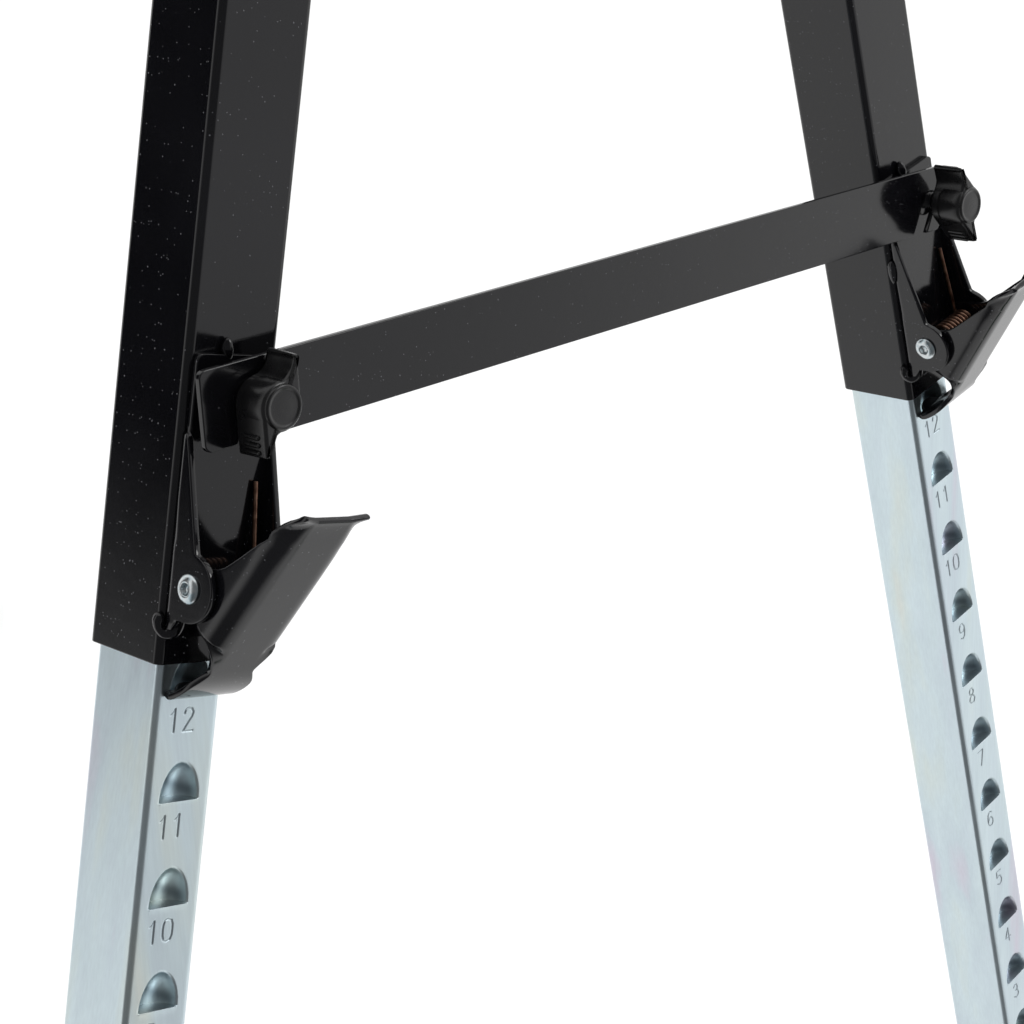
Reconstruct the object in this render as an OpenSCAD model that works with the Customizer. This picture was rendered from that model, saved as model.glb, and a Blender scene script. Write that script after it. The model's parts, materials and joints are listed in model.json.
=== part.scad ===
// Folding builders trestle: a square head tube on two end frames. Each end frame has
// two splayed tube legs on a head bracket, tied by a flat cross bar with wing knobs.
// An inner leg with pressed stops slides in each tube and a sprung pedal latches it.
// Millimetres, Z up, origin at the middle of the base. Left and right are as seen
// when facing the end in question, and both ends are the same frame turned about Z.

/* [Head] */
// Length of the head tube along Y
head_length = 1100; // [1000:10:1300]
// Outer width and height of the square head tube
head_size = 50; // [44:1:60]
// Wall of the head tube
head_wall = 2; // [1.5:0.5:3]
// Outer corner radius of the head tube
head_corner = 5; // [3.5:0.5:8]
// Distance from the tube's end to the hinge line of the legs
end_inset = 80; // [60:1:110]
// Thickness of the rim and walls of a head end cap
cap_wall = 3; // [2:0.5:5]
// Depth of the plug of a head end cap
cap_plug = 18; // [10:1:30]
// Height of the hinge line below the head tube
hinge_drop = 36; // [33:1:50]
// Distance between the two hinges of one end frame
hinge_spacing = 96.4; // [92:0.2:120]
// Sheet thickness of the head bracket
saddle_sheet = 3; // [2:0.5:5]
// Play between a leg and each plate of the head bracket
saddle_play = 0.4; // [0.2:0.1:1]
// Margin of the bracket plate around a hinge bolt
saddle_margin = 17; // [14:1:24]

/* [Legs] */
// Splay of each leg from the upright, in the plane of the end frame
leg_splay = 13.6; // [8:0.2:18]
// Lean of the end frame, feet outward
leg_lean = 3.9; // [0:0.1:8]
// Outer width of the square outer leg tube
tube_size = 40; // [39:0.5:44]
// Wall of the outer leg tube
tube_wall = 1.5; // [1:0.25:1.75]
// Outer corner radius of the outer leg tube
tube_corner = 3; // [2:0.25:4]
// Length of the outer leg above its hinge
tube_above = 18; // [12:1:20]
// Length of the outer leg below its hinge
tube_below = 735.4; // [725:0.2:760]
// Radius of a hinge bolt
hinge_bolt_r = 5; // [4:0.5:6]

/* [Inner leg] */
// Width of the inner leg tube
inner_width = 29; // [27:0.5:30]
// Depth of the inner leg tube
inner_depth = 36; // [34:0.25:36]
// Wall of the inner leg tube
inner_wall = 1.5; // [1:0.25:2]
// Outer corner radius of the inner leg tube
inner_corner = 2.5; // [2:0.25:4]
// Play between the inner leg and the left wall of the outer leg
inner_side_play = 1.1; // [0.5:0.1:1.5]
// Length of the inner leg held inside the outer leg
inner_overlap = 185; // [160:1:200]
// Number of pressed stops
stop_count = 13; // [8:1:13]
// Distance between stops
stop_pitch = 39; // [36:0.5:40]
// Distance from the outer leg's lower end to the lip of the latched stop
lip_below_tube = 12; // [11:0.25:14]
// Distance from the lip of the lowest stop to the foot's sole
foot_margin = 63.6; // [60:0.2:90]
// Half width of the pocket of a stop at its lip
pocket_r = 8.8; // [8.4:0.1:10]
// Height of the pocket of a stop
pocket_height = 15.5; // [13:0.5:18]
// How far the pocket's axis lies in front of the leg's face
pocket_proud = 2; // [1:0.25:2.5]
// Sheet left around a pocket
pocket_skin = 1.2; // [0.8:0.1:1.5]
// Length of the nylon guide pad inside the outer leg
pad_length = 60; // [30:1:80]
// Play between the guide pad and the inner leg
pad_play = 0.3; // [0.2:0.1:0.8]

/* [Feet] */
// Wall of the rubber foot
foot_wall = 3; // [2:0.5:5]
// Height of the rubber foot above its sole
foot_height = 42; // [30:1:50]
// Rubber under the end of the inner leg
foot_sole = 14; // [12:1:20]
// Play between the inner leg and the foot's socket
foot_play = 0.05; // [0.02:0.01:0.1]

/* [Latch bracket] */
// Sheet thickness of the bracket
bracket_sheet = 2.5; // [1.5:0.25:3]
// Outer width over the two ears
bracket_width = 39; // [38:0.25:40]
// Height of the back plate above the knob
plate_above_knob = 14; // [12:0.5:24]
// Distance from the knob down to the start of the ears
ear_start = 15; // [14:0.5:20]
// Distance from the knob down to the pedal's pivot
pivot_drop = 65.5; // [64:0.25:67]
// Distance of the pivot in front of the outer leg's face
pivot_out = 12.6; // [12:0.1:14]
// Radius of the round eye of an ear
ear_eye_r = 12; // [9.5:0.25:12.5]
// Radius of the bends of the bracket
bracket_bend = 3; // [2.5:0.25:4]

/* [Pivot bolt] */
// Radius of the bolt's shank
pivot_bolt_r = 3; // [2.5:0.25:4]
// Radius of the button head
button_r = 5.6; // [5:0.1:7]
// Height of the button head
button_height = 3.2; // [2:0.1:4]
// Width across the flats of the nut
pivot_nut_flats = 10; // [9:0.5:12]
// Height of the nut
pivot_nut_height = 6; // [4:0.5:8]

/* [Pedal] */
// Outer width over the pedal's cheeks
pedal_width = 32.8; // [32:0.1:33.2]
// Sheet thickness of the pedal
pedal_sheet = 2.2; // [1.5:0.1:2.5]
// Slope of the pedal's plate from the leg
pedal_slope = 36.5; // [35:0.5:38]
// Distance from the pivot to the outer face of the plate
pedal_depth = 20.5; // [19.5:0.25:21]
// Length of the plate above the pivot, up to the toe
pedal_up = 52; // [47:1:55]
// Length of the plate below the pivot, down to its neck
pedal_down = 22; // [20:0.25:24]
// Length of the cheeks below the pivot, where the plate starts to narrow
cheek_down = 7.5; // [6:0.5:10]
// Radius of the folds between plate and cheeks
pedal_fold = 6; // [4:0.5:8]
// Radius of the cheek around the pivot
cheek_r = 9.3; // [7:0.1:9.5]
// Length of the flared toe at the top
toe_length = 6; // [4:0.5:10]
// Width of the flared toe
toe_width = 28; // [24:0.5:32]
// Flare of the toe
toe_flare = 10; // [5:1:20]
// Width of the neck between plate and bottom lip
neck_width = 20; // [16:0.5:24]
// Length of the bottom lip
lip_length = 9.5; // [7:0.5:11]
// Width of the bottom lip
lip_width = 35; // [33:0.5:38]
// Flare of the bottom lip
lip_flare = 8; // [0:1:15]
// Width of the tongue where it leaves the neck
tongue_width = 23; // [19:0.5:25]
// Radius of the tongue's rounded tip
tongue_r = 7.5; // [6.5:0.1:7.5]
// How far the tongue reaches into a stop
tongue_reach = 4; // [3:0.25:4.25]
// Gap between the tongue and the lip that it stands on
tongue_gap = 0.15; // [0.1:0.05:0.5]

/* [Torsion spring] */
// Diameter of the spring wire
wire_d = 1.8; // [1.4:0.1:2]
// Mean radius of the coil
coil_r = 5.6; // [5.2:0.1:6]
// Whole turns of the coil
coil_turns = 8; // [4:1:9]
// Rise of the coil in one turn
coil_pitch = 2.35; // [2.3:0.05:2.6]
// Length of the straight end that lies on the bracket
back_end_length = 36; // [20:1:45]
// Angle between the straight end under the pedal and the pedal's plate
pedal_end_angle = 20; // [16:1:30]
// Gap between the spring and the sheets that it lies beside
spring_play = 0.3; // [0.2:0.1:0.5]
// Sides of the wire
wire_sides = 6; // [6:1:8]

/* [Cross bar] */
// Distance from the knob down to the outer leg's lower end
knob_above_end = 95.4; // [92:0.2:130]
// Height of the bar
bar_height = 29; // [26:0.5:32]
// Thickness of the bar
bar_sheet = 2.5; // [2:0.25:4]
// Corner radius of the bar
bar_corner = 3; // [1:0.5:5]
// Length of the bar past the pivot stud
bar_overhang = 21.5; // [15:0.5:25]
// Length of the bar past the hook's stud
hook_overhang = 7.5; // [7.5:0.25:15]
// Width of the hook's slot around the stud
hook_slot = 9.2; // [9.1:0.1:9.6]
// Width of the mouth of the hook's slot
hook_mouth = 8.9; // [8.6:0.1:9]
// Slant of the hook's slot from the upright
hook_slant = 27; // [24:0.5:30]
// Height of the stud's collar behind the bar
collar_height = 7; // [6:0.5:9]
// Radius of the stud's collar
collar_r = 7; // [6:0.5:8]
// Radius of the stud
stud_r = 4; // [3:0.25:4]
// Length of the stud inside the knob
stud_grip = 12; // [8:0.5:13]

/* [Wing knob] */
// Depth of the knob along its stud
knob_depth = 16.6; // [14:0.2:22]
// Radius of the knob's hub
hub_r = 9; // [8:0.25:10]
// Half length of the knob over its wings
wing_reach = 17; // [14:0.25:19]
// Width of a wing at its tip
wing_tip = 2; // [1.5:0.25:4]
// Radius of the raised cap
knob_cap_r = 8.2; // [6:0.1:8.4]
// Height of the raised cap
knob_cap_height = 1; // [0.5:0.25:2]
// Number of grip ribs on a wing
rib_count = 3; // [1:1:4]
// Radius of a grip rib
rib_r = 0.8; // [0.5:0.1:1]
// Distance between grip ribs
rib_pitch = 3.2; // [2.5:0.1:3.4]
// Angle by which the left knob is turned
left_knob_turn = 0; // [-180:5:180]
// Distance by which the right knob is unscrewed from the bar
right_knob_out = 4.5; // [0:0.5:6]
// Angle by which the right knob is turned
right_knob_turn = 45; // [-180:5:180]

/* [Fits] */
// Radial play of pins and bolts in their holes
pin_play = 0.05; // [0.03:0.01:0.09]
// Play between flat faces that slide
face_play = 0.05; // [0.02:0.01:0.3]

/* [Hidden] */
$fn = 48;
FRONT = 0;
REAR = 1;
LEFT = -1;
RIGHT = 1;
black_coat = "#1d1d20";
zinc = "#c3ccd2";
bright_steel = "#c9cbcc";
bronze = "#a9744f";
rubber = "#17171a";
nylon = "#e4e1d6";
past = 1; // how far a cutter runs past the face that it cuts

// Places of the hinge line
lowest_lip = tube_below + lip_below_tube + stop_pitch * (stop_count - 2);
foot_reach = lowest_lip + foot_margin;
knob_drop = tube_below - knob_above_end;
hinge_z = foot_reach * cos(leg_splay) * cos(leg_lean);
hinge_y = head_length / 2 - end_inset;
head_under = hinge_z + hinge_drop;
knob_spacing = hinge_spacing + 2 * knob_drop * sin(leg_splay);

// Heights along a leg, measured from its hinge
tube_end_z = -tube_below;
knob_z = -knob_drop;
pivot_z = knob_z - pivot_drop;
latched_lip_z = tube_end_z - lip_below_tube;
first_lip_z = latched_lip_z + stop_pitch;
inner_top_z = tube_end_z + inner_overlap;
inner_end_z = -foot_reach + foot_sole;

// Places across a leg: the front face of the tube is at -Y
tube_face = -tube_size / 2;
pivot_y = tube_face - pivot_out;
inner_x = -tube_size / 2 + tube_wall + inner_side_play + inner_width / 2;
inner_face = -inner_depth / 2;
bar_back = bracket_sheet + collar_height + face_play;
bar_front = bar_back + bar_sheet;
knob_back = bar_front + face_play;

// The pedal's tongue, seen from the pivot as [out, up]; the leg's face lies behind it
leg_face_out = tube_face - inner_face - pivot_out;
lip_up = latched_lip_z - pivot_z;
tongue_swing = norm([leg_face_out, lip_up]) - tongue_gap;
tongue_tip_out = leg_face_out - tongue_reach;
face_gap = 1.2; // between the leg's face and the wide part of the tongue
tongue_bend_out = leg_face_out + 2;
tongue_bend = [tongue_bend_out, -sqrt(pow(tongue_swing, 2) - pow(tongue_bend_out, 2))];

// Radii of holes
hinge_hole_r = hinge_bolt_r + pin_play;
pivot_hole_r = pivot_bolt_r + pin_play;
stud_hole_r = stud_r + pin_play;

// Place of a leg's own frame, origin at its hinge
module at_leg(end, side) {
    rotate([0, 0, 180 * end])
        translate([side * hinge_spacing / 2, -hinge_y, hinge_z])
            rotate([-leg_lean, 0, 0])
                rotate([0, -side * leg_splay, 0])
                    children();
}

// Place of an end frame's middle, on its hinge line and leaning with it
module at_end(end) {
    rotate([0, 0, 180 * end])
        translate([0, -hinge_y, hinge_z])
            rotate([-leg_lean, 0, 0])
                children();
}

module rounded_rect(size, r) {
    square([size.x - 2 * r, size.y], center = true);
    square([size.x, size.y - 2 * r], center = true);
    for (sx = [-1, 1], sy = [-1, 1])
        translate([sx * (size.x / 2 - r), sy * (size.y / 2 - r)]) circle(r);
}

// Square tube section
module tube_section(size, r, wall) {
    difference() {
        rounded_rect(size, r);
        rounded_rect(size - [2 * wall, 2 * wall], r - wall / 2);
    }
}

// Turns a side view, drawn as [out from the leg, up], into a solid of a given width
module side_view(width) {
    rotate([90, 0, -90]) linear_extrude(width, center = true) children();
}

// Straight round cutter or pin along X or Y
module along_x(r, length, sides = 48) {
    rotate([0, 90, 0]) cylinder(r = r, h = length, center = true, $fn = sides);
}

module along_y(r, length, sides = 48) {
    rotate([90, 0, 0]) cylinder(r = r, h = length, center = true, $fn = sides);
}

// Hexagon nut or head along Z, with a hole when hole_r is above 0
module hexagon(flats, height, hole_r = 0) {
    difference() {
        cylinder(d = flats / cos(30), h = height, $fn = 6);
        if (hole_r > 0)
            translate([0, 0, -past]) cylinder(r = hole_r, h = height + 2 * past);
    }
}

// Head

module head_tube() {
    color(black_coat)
        translate([0, 0, head_under + head_size / 2])
            rotate([90, 0, 0])
                linear_extrude(head_length, center = true)
                    tube_section([head_size, head_size], head_corner, head_wall);
}

module head_end_caps() {
    inside = head_size - 2 * head_wall - 2 * pin_play;
    for (end = [FRONT, REAR])
        color(rubber)
            rotate([0, 0, 180 * end])
                translate([0, -head_length / 2, head_under + head_size / 2])
                    rotate([90, 0, 0]) {
                        linear_extrude(cap_wall) rounded_rect([head_size, head_size], head_corner);
                        translate([0, 0, -cap_plug])
                            linear_extrude(cap_plug + cap_wall / 2)
                                difference() {
                                    rounded_rect([inside, inside], head_corner - head_wall / 2);
                                    square(inside - 2 * cap_wall, center = true);
                                }
                    }
}

// Front view of a bracket plate: two round corners at the hinges, square at the top
module saddle_plate_view() {
    half = hinge_spacing / 2;
    for (sx = [-1, 1]) translate([sx * half, 0]) circle(saddle_margin);
    translate([-half, -saddle_margin]) square([2 * half, 2 * saddle_margin]);
    translate([-half - saddle_margin, 0])
        square([2 * (half + saddle_margin), hinge_drop + saddle_margin]);
}

module head_bracket(end) {
    plate_y = tube_size / 2 + saddle_play + saddle_sheet / 2;
    span_x = hinge_spacing + 2 * saddle_margin;
    span_y = 2 * plate_y + saddle_sheet;
    color(black_coat) {
        difference() {
            at_end(end)
                difference() {
                    for (sy = [-1, 1])
                        translate([0, sy * plate_y, 0])
                            rotate([90, 0, 0])
                                linear_extrude(saddle_sheet, center = true) saddle_plate_view();
                    for (sx = [-1, 1])
                        translate([sx * hinge_spacing / 2, 0, 0])
                            along_y(hinge_hole_r, span_y + 2 * past);
                }
            translate([0, 0, head_under - saddle_sheet / 2 + head_length])
                cube(2 * head_length, center = true);
        }
        rotate([0, 0, 180 * end])
            translate([0, -hinge_y + hinge_drop * tan(leg_lean), head_under - saddle_sheet / 2])
                cube([span_x, span_y + saddle_sheet, saddle_sheet], center = true);
    }
}

module hinge_bolts(end) {
    grip = tube_size / 2 + saddle_play + saddle_sheet;
    nut_height = 1.6 * hinge_bolt_r;
    head_height = 1.3 * hinge_bolt_r;
    flats = 3.3 * hinge_bolt_r;
    for (sx = [-1, 1])
        color(bright_steel)
            at_end(end)
                translate([sx * hinge_spacing / 2, 0, 0]) {
                    translate([0, nut_height / 2 + past, 0])
                        along_y(hinge_bolt_r, 2 * grip + nut_height + 2 * past);
                    translate([0, -grip, 0]) rotate([90, 0, 0]) hexagon(flats, head_height);
                    translate([0, grip + nut_height, 0])
                        rotate([90, 0, 0]) hexagon(flats, nut_height, hinge_hole_r);
                }
}

// Outer leg

module outer_leg(end, side) {
    color(black_coat)
        at_leg(end, side)
            difference() {
                translate([0, 0, tube_end_z])
                    linear_extrude(tube_below + tube_above)
                        tube_section([tube_size, tube_size], tube_corner, tube_wall);
                along_y(hinge_hole_r, tube_size + 2 * past);
            }
}

// Nylon strip that fills the space between the inner leg and the right wall
module guide_pad(end, side) {
    pad_from = inner_x + inner_width / 2 + pad_play;
    pad_to = tube_size / 2 - tube_wall;
    color(nylon)
        at_leg(end, side)
            translate([pad_from, -inner_depth / 2 + tube_corner, tube_end_z + past])
                cube([pad_to - pad_from, inner_depth - 2 * tube_corner, pad_length]);
}

// Latch bracket

// Side view of the back plate and one ear, as [out from the tube's face, up from the pivot]
module ear_view() {
    polygon([
        [0, pivot_drop + plate_above_knob],
        [bracket_sheet, pivot_drop + plate_above_knob],
        [bracket_sheet, pivot_drop - ear_start],
        [pivot_out + 0.1 * ear_eye_r, 0.97 * ear_eye_r],
        [pivot_out + 0.1 * ear_eye_r, 0],
        [pivot_out - 0.5 * ear_eye_r, -1.1 * ear_eye_r],
        [bracket_sheet, -1.5 * ear_eye_r],
        [0, -1.6 * ear_eye_r]
    ]);
}

// Plan view of the folded channel, open to the front
module channel_view() {
    depth = 2 * (pivot_out + ear_eye_r);
    difference() {
        translate([0, tube_face - depth / 2])
            rounded_rect([bracket_width, depth], bracket_bend);
        translate([0, tube_face - bracket_sheet - depth / 2])
            square([bracket_width - 2 * bracket_sheet, depth], center = true);
    }
}

module latch_bracket(end, side) {
    below = 2 * ear_eye_r;
    height = below + pivot_drop + plate_above_knob;
    color(black_coat)
        at_leg(end, side)
            translate([0, 0, pivot_z])
                difference() {
                    intersection() {
                        union() {
                            translate([0, tube_face, 0]) side_view(bracket_width + past) ear_view();
                            translate([0, pivot_y, 0]) along_x(ear_eye_r, bracket_width + 2 * past);
                        }
                        translate([0, 0, -below]) linear_extrude(height + past) channel_view();
                        translate([0, tube_face, height / 2 - below])
                            rotate([90, 0, 0])
                                linear_extrude(4 * ear_eye_r, center = true)
                                    rounded_rect([bracket_width, height], bracket_bend);
                    }
                    translate([0, pivot_y, 0]) along_x(pivot_hole_r, bracket_width + 2 * past);
                    translate([0, tube_face, pivot_drop]) along_y(stud_hole_r, 4 * bracket_sheet);
                }
}

module pivot_bolt(end, side) {
    reach = bracket_width / 2;
    color(bright_steel)
        at_leg(end, side)
            translate([0, pivot_y, pivot_z]) {
                difference() {
                    union() {
                        translate([pivot_nut_height / 2 + past / 2, 0, 0])
                            along_x(pivot_bolt_r, 2 * reach + pivot_nut_height + past);
                        translate([-reach, 0, 0])
                            rotate([0, -90, 0])
                                cylinder(r1 = button_r, r2 = 0.6 * button_r, h = button_height);
                    }
                    translate([-reach - button_height / 2, 0, 0])
                        rotate([0, -90, 0]) cylinder(r = 0.42 * button_r, h = button_height, $fn = 6);
                }
                translate([reach, 0, 0])
                    rotate([0, 90, 0]) hexagon(pivot_nut_flats, pivot_nut_height, pivot_hole_r);
            }
}

// Latch pedal

// A place on the pedal, given along its plate and out from the pivot, as [out, up]
function plate_point(along, out) = [
    out * cos(pedal_slope) + along * sin(pedal_slope),
    along * cos(pedal_slope) - out * sin(pedal_slope)
];

// Side view of the cheeks: down the plate to its neck, up its back and round the pivot
module cheek_view() {
    band = pedal_fold + pedal_sheet;
    circle(cheek_r);
    polygon([
        plate_point(pedal_up, pedal_depth),
        plate_point(-pedal_down, pedal_depth),
        plate_point(-pedal_down, pedal_depth - band),
        plate_point(-cheek_down, pedal_depth - band),
        [-0.4 * cheek_r, -0.9 * cheek_r],
        [-0.55 * cheek_r, 0.8 * cheek_r],
        [1.42 * cheek_r, 1.17 * cheek_r]
    ]);
}

// Cross-section of the folded channel, as [across, out]; the cheeks run back past the pivot
module fold_view(inset) {
    half = pedal_width / 2 - inset;
    top = pedal_depth - inset;
    r = pedal_fold - inset;
    translate([-half, -pedal_width]) square([2 * half, pedal_width + top - r]);
    translate([-half + r, 0]) square([2 * (half - r), top]);
    for (sx = [-1, 1]) translate([sx * (half - r), top - r]) circle(r);
}

module pedal_channel() {
    span = pedal_up + 2 * pedal_down;
    band = pedal_fold + pedal_sheet;
    difference() {
        intersection() {
            side_view(pedal_width + past) cheek_view();
            rotate([pedal_slope, 0, 0])
                translate([0, 0, -2 * pedal_down])
                    linear_extrude(span + past)
                        mirror([0, 1])
                            difference() {
                                fold_view(0);
                                fold_view(pedal_sheet);
                            }
        }
        along_x(pivot_hole_r, pedal_width + 2 * past);
        rotate([pedal_slope, 0, 0])
            translate([0, -pedal_depth, 0])
                rotate([90, 0, 0])
                    linear_extrude(2 * band, center = true)
                        for (sx = [-1, 1])
                            polygon([
                                [sx * pedal_width / 2, -cheek_down],
                                [sx * neck_width / 2, -pedal_down],
                                [sx * neck_width / 2, -pedal_down - past],
                                [sx * pedal_width, -pedal_down - past],
                                [sx * pedal_width, -cheek_down]
                            ]);
    }
}

// The toe and the bottom lip are flat flanges, bent out from the ends of the plate
module pedal_flanges() {
    half = lip_width / 2;
    neck = neck_width / 2;
    rotate([pedal_slope, 0, 0]) {
        translate([0, -pedal_depth, pedal_up - pedal_sheet])
            rotate([90 + toe_flare, 0, 0])
                mirror([0, 0, 1])
                    linear_extrude(pedal_sheet)
                        translate([-toe_width / 2, 0]) square([toe_width, toe_length + pedal_sheet]);
        translate([0, -pedal_depth, -pedal_down + pedal_sheet / 2])
            rotate([90 - lip_flare, 0, 0])
                mirror([0, 0, 1])
                    linear_extrude(pedal_sheet)
                        polygon([
                            [-neck, 0], [neck, 0],
                            [half, -0.75 * lip_length], [0.65 * half, -lip_length],
                            [-0.65 * half, -lip_length], [-half, -0.75 * lip_length]
                        ]);
    }
}

// The tongue's underside lies on a circle round the pivot, so it swings out past its lip
module pedal_tongue() {
    wide = tongue_width;
    intersection() {
        side_view(wide) {
            intersection() {
                difference() {
                    circle(tongue_swing, $fn = 96);
                    circle(tongue_swing - pedal_sheet, $fn = 96);
                }
                translate([tongue_tip_out, -2 * tongue_swing])
                    square([tongue_bend.x - tongue_tip_out, 2 * tongue_swing]);
            }
            polygon([
                tongue_bend,
                [tongue_bend.x, tongue_bend.y + pedal_sheet],
                plate_point(-pedal_down + pedal_sheet, pedal_depth - pedal_sheet),
                plate_point(-pedal_down, pedal_depth)
            ]);
        }
        translate([0, 0, -2 * tongue_swing])
            linear_extrude(2 * tongue_swing) {
                translate([-wide, -2 * wide - pivot_y + inner_face - face_gap])
                    square(2 * wide);
                translate([inner_x, inner_face + tongue_reach - tongue_r - pivot_y])
                    circle(tongue_r);
            }
    }
}

module latch_pedal(end, side) {
    color(black_coat)
        at_leg(end, side)
            translate([0, pivot_y, pivot_z]) {
                pedal_channel();
                pedal_flanges();
                pedal_tongue();
            }
}

// Torsion spring

// Turn angles run from the back of the coil, under it and forward
back_lean = asin((pivot_out - bracket_sheet - wire_d / 2 - spring_play - coil_r) / back_end_length);
coil_start = 180 + back_lean;
coil_end = 360 * (coil_turns + 1) - pedal_slope - pedal_end_angle;
coil_steps = round((coil_end - coil_start) / 45);
coil_x = pedal_width / 2 - pedal_sheet - wire_d / 2 - 2 * spring_play;
under_plate = pedal_depth - pedal_sheet - wire_d / 2 - spring_play;
pedal_end_length = (under_plate - coil_r * cos(pedal_end_angle)) / sin(pedal_end_angle);

function radial(angle) = [0, -cos(angle), sin(angle)];
function tangent(angle) = [0, sin(angle), cos(angle)];
function coil_angle(step) = coil_start + (coil_end - coil_start) * step / coil_steps;
function coil_point(step) =
    [coil_x - coil_pitch * (coil_angle(step) - coil_start) / 360, 0, 0]
    + coil_r * radial(coil_angle(step));

// Centre line: straight end, coil with 8 rings a turn, straight end; each with its angle
spring_rings = concat(
    [[coil_point(0) - back_end_length * tangent(coil_start), coil_start]],
    [for (step = [0:coil_steps]) [coil_point(step), coil_angle(step)]],
    [[coil_point(coil_steps) + pedal_end_length * tangent(coil_end), coil_end]]
);

function ring_point(ring, side) =
    ring[0] + wire_d / 2 * (cos(360 * side / wire_sides) * radial(ring[1])
    + sin(360 * side / wire_sides) * [1, 0, 0]);

// Least gap of the coil to itself, between rings at least half a turn apart
coil_gap = min([
    for (i = [1:len(spring_rings) - 2], j = [i + 4:1:len(spring_rings) - 2])
        norm(spring_rings[i][0] - spring_rings[j][0]) - wire_d
]);
echo(least_gap_of_the_spring_to_itself = coil_gap);

module torsion_spring(end, side) {
    rings = len(spring_rings);
    points = [for (ring = spring_rings, k = [0:wire_sides - 1]) ring_point(ring, k)];
    walls = [
        for (i = [0:rings - 2], k = [0:wire_sides - 1])
            let (a = i * wire_sides + k, b = i * wire_sides + (k + 1) % wire_sides)
                each [[a, b, b + wire_sides], [a, b + wire_sides, a + wire_sides]]
    ];
    last = (rings - 1) * wire_sides;
    ends = [
        for (k = [1:wire_sides - 2])
            each [[0, k + 1, k], [last, last + k, last + k + 1]]
    ];
    color(bronze)
        at_leg(end, side)
            translate([0, pivot_y, pivot_z])
                polyhedron(points, concat(walls, ends));
}

// Cross bar

// Front view, origin at the pivot stud; the far end hooks over the other stud
module bar_view() {
    length = bar_overhang + knob_spacing + hook_overhang;
    difference() {
        translate([length / 2 - bar_overhang, 0]) rounded_rect([length, bar_height], bar_corner);
        circle(stud_hole_r);
        translate([knob_spacing, 0]) {
            circle(d = hook_slot);
            rotate(-hook_slant)
                translate([-hook_mouth / 2, -bar_height]) square([hook_mouth, bar_height]);
        }
    }
}

module cross_bar(end) {
    color(black_coat)
        at_leg(end, LEFT)
            translate([0, tube_face - bar_back, knob_z])
                rotate([0, -leg_splay, 0])
                    rotate([90, 0, 0]) linear_extrude(bar_sheet) bar_view();
}

module knob_stud(end, side) {
    length = knob_back + stud_grip - face_play;
    color(black_coat)
        at_leg(end, side)
            translate([0, tube_face, knob_z])
                rotate([90, 0, 0]) {
                    translate([0, 0, face_play]) cylinder(r = stud_r, h = length);
                    translate([0, 0, bracket_sheet]) cylinder(r = collar_r, h = collar_height);
                }
}

// Front view of the knob: a hub with two wings, alike under a half turn
module knob_view() {
    scoop_r = wing_reach - hub_r;
    circle(hub_r);
    for (turn = [0, 180])
        rotate(turn) {
            difference() {
                square([hub_r, wing_reach]);
                translate([hub_r - wing_tip - scoop_r, wing_reach]) circle(scoop_r);
            }
            for (i = [0:rib_count - 1])
                translate([hub_r, wing_reach - 2 * rib_r - rib_pitch * i]) circle(rib_r, $fn = 16);
        }
}

module wing_knob(end, side) {
    turn = side == LEFT ? left_knob_turn : right_knob_turn;
    out = knob_back + (side == LEFT ? 0 : right_knob_out);
    color(rubber)
        at_leg(end, side)
            translate([0, tube_face - out, knob_z])
                rotate([0, side * leg_splay, 0])
                    rotate([90, 0, 0])
                        rotate(turn)
                            difference() {
                                union() {
                                    linear_extrude(knob_depth) knob_view();
                                    cylinder(r = knob_cap_r, h = knob_depth + knob_cap_height);
                                }
                                translate([0, 0, -past])
                                    cylinder(r = stud_hole_r, h = stud_grip + face_play + past);
                            }
}

// Inner leg

// Solid of revolution of a pocket about the leg's length, flat at its lip
module pocket_form(grow) {
    steps = 6;
    rotate_extrude($fn = 40)
        polygon(concat([[0, 0]], [
            for (i = [0:steps])
                let (angle = 90 * i / steps)
                    [(pocket_r + grow) * cos(angle), (pocket_height + grow) * sin(angle)]
        ]));
}

module inner_leg(end, side) {
    lips = [for (i = [0:stop_count - 1]) first_lip_z - stop_pitch * i];
    color(zinc)
        at_leg(end, side)
            translate([inner_x, 0, 0])
                difference() {
                    union() {
                        translate([0, 0, inner_end_z])
                            linear_extrude(inner_top_z - inner_end_z)
                                tube_section([inner_width, inner_depth], inner_corner, inner_wall);
                        for (lip = lips)
                            intersection() {
                                translate([0, inner_face - pocket_proud, lip])
                                    pocket_form(pocket_skin);
                                translate([-inner_width / 2, inner_face + inner_wall / 2, lip - past])
                                    cube([inner_width, inner_depth / 2, 2 * pocket_height]);
                            }
                    }
                    for (lip = lips)
                        translate([0, inner_face - pocket_proud, lip]) pocket_form(0);
                }
}

// Rubber shoe, cut level where it stands on the floor
module foot(end, side) {
    outer = [inner_width, inner_depth] + 2 * (foot_wall + foot_play) * [1, 1];
    socket = [inner_width, inner_depth] + 2 * foot_play * [1, 1];
    below = foot_height / 2;
    color(rubber)
        at_leg(end, side)
            difference() {
                translate([inner_x, 0, -foot_reach - below])
                    linear_extrude(foot_height + below)
                        rounded_rect(outer, inner_corner + foot_wall);
                translate([inner_x, 0, inner_end_z])
                    linear_extrude(foot_height) rounded_rect(socket, inner_corner + foot_play);
                translate([0, 0, -foot_reach])
                    rotate([0, side * leg_splay, 0])
                        rotate([leg_lean, 0, 0])
                            translate([0, 0, -foot_height])
                                cube([8 * foot_height, 8 * foot_height, 2 * foot_height], center = true);
            }
}

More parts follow.
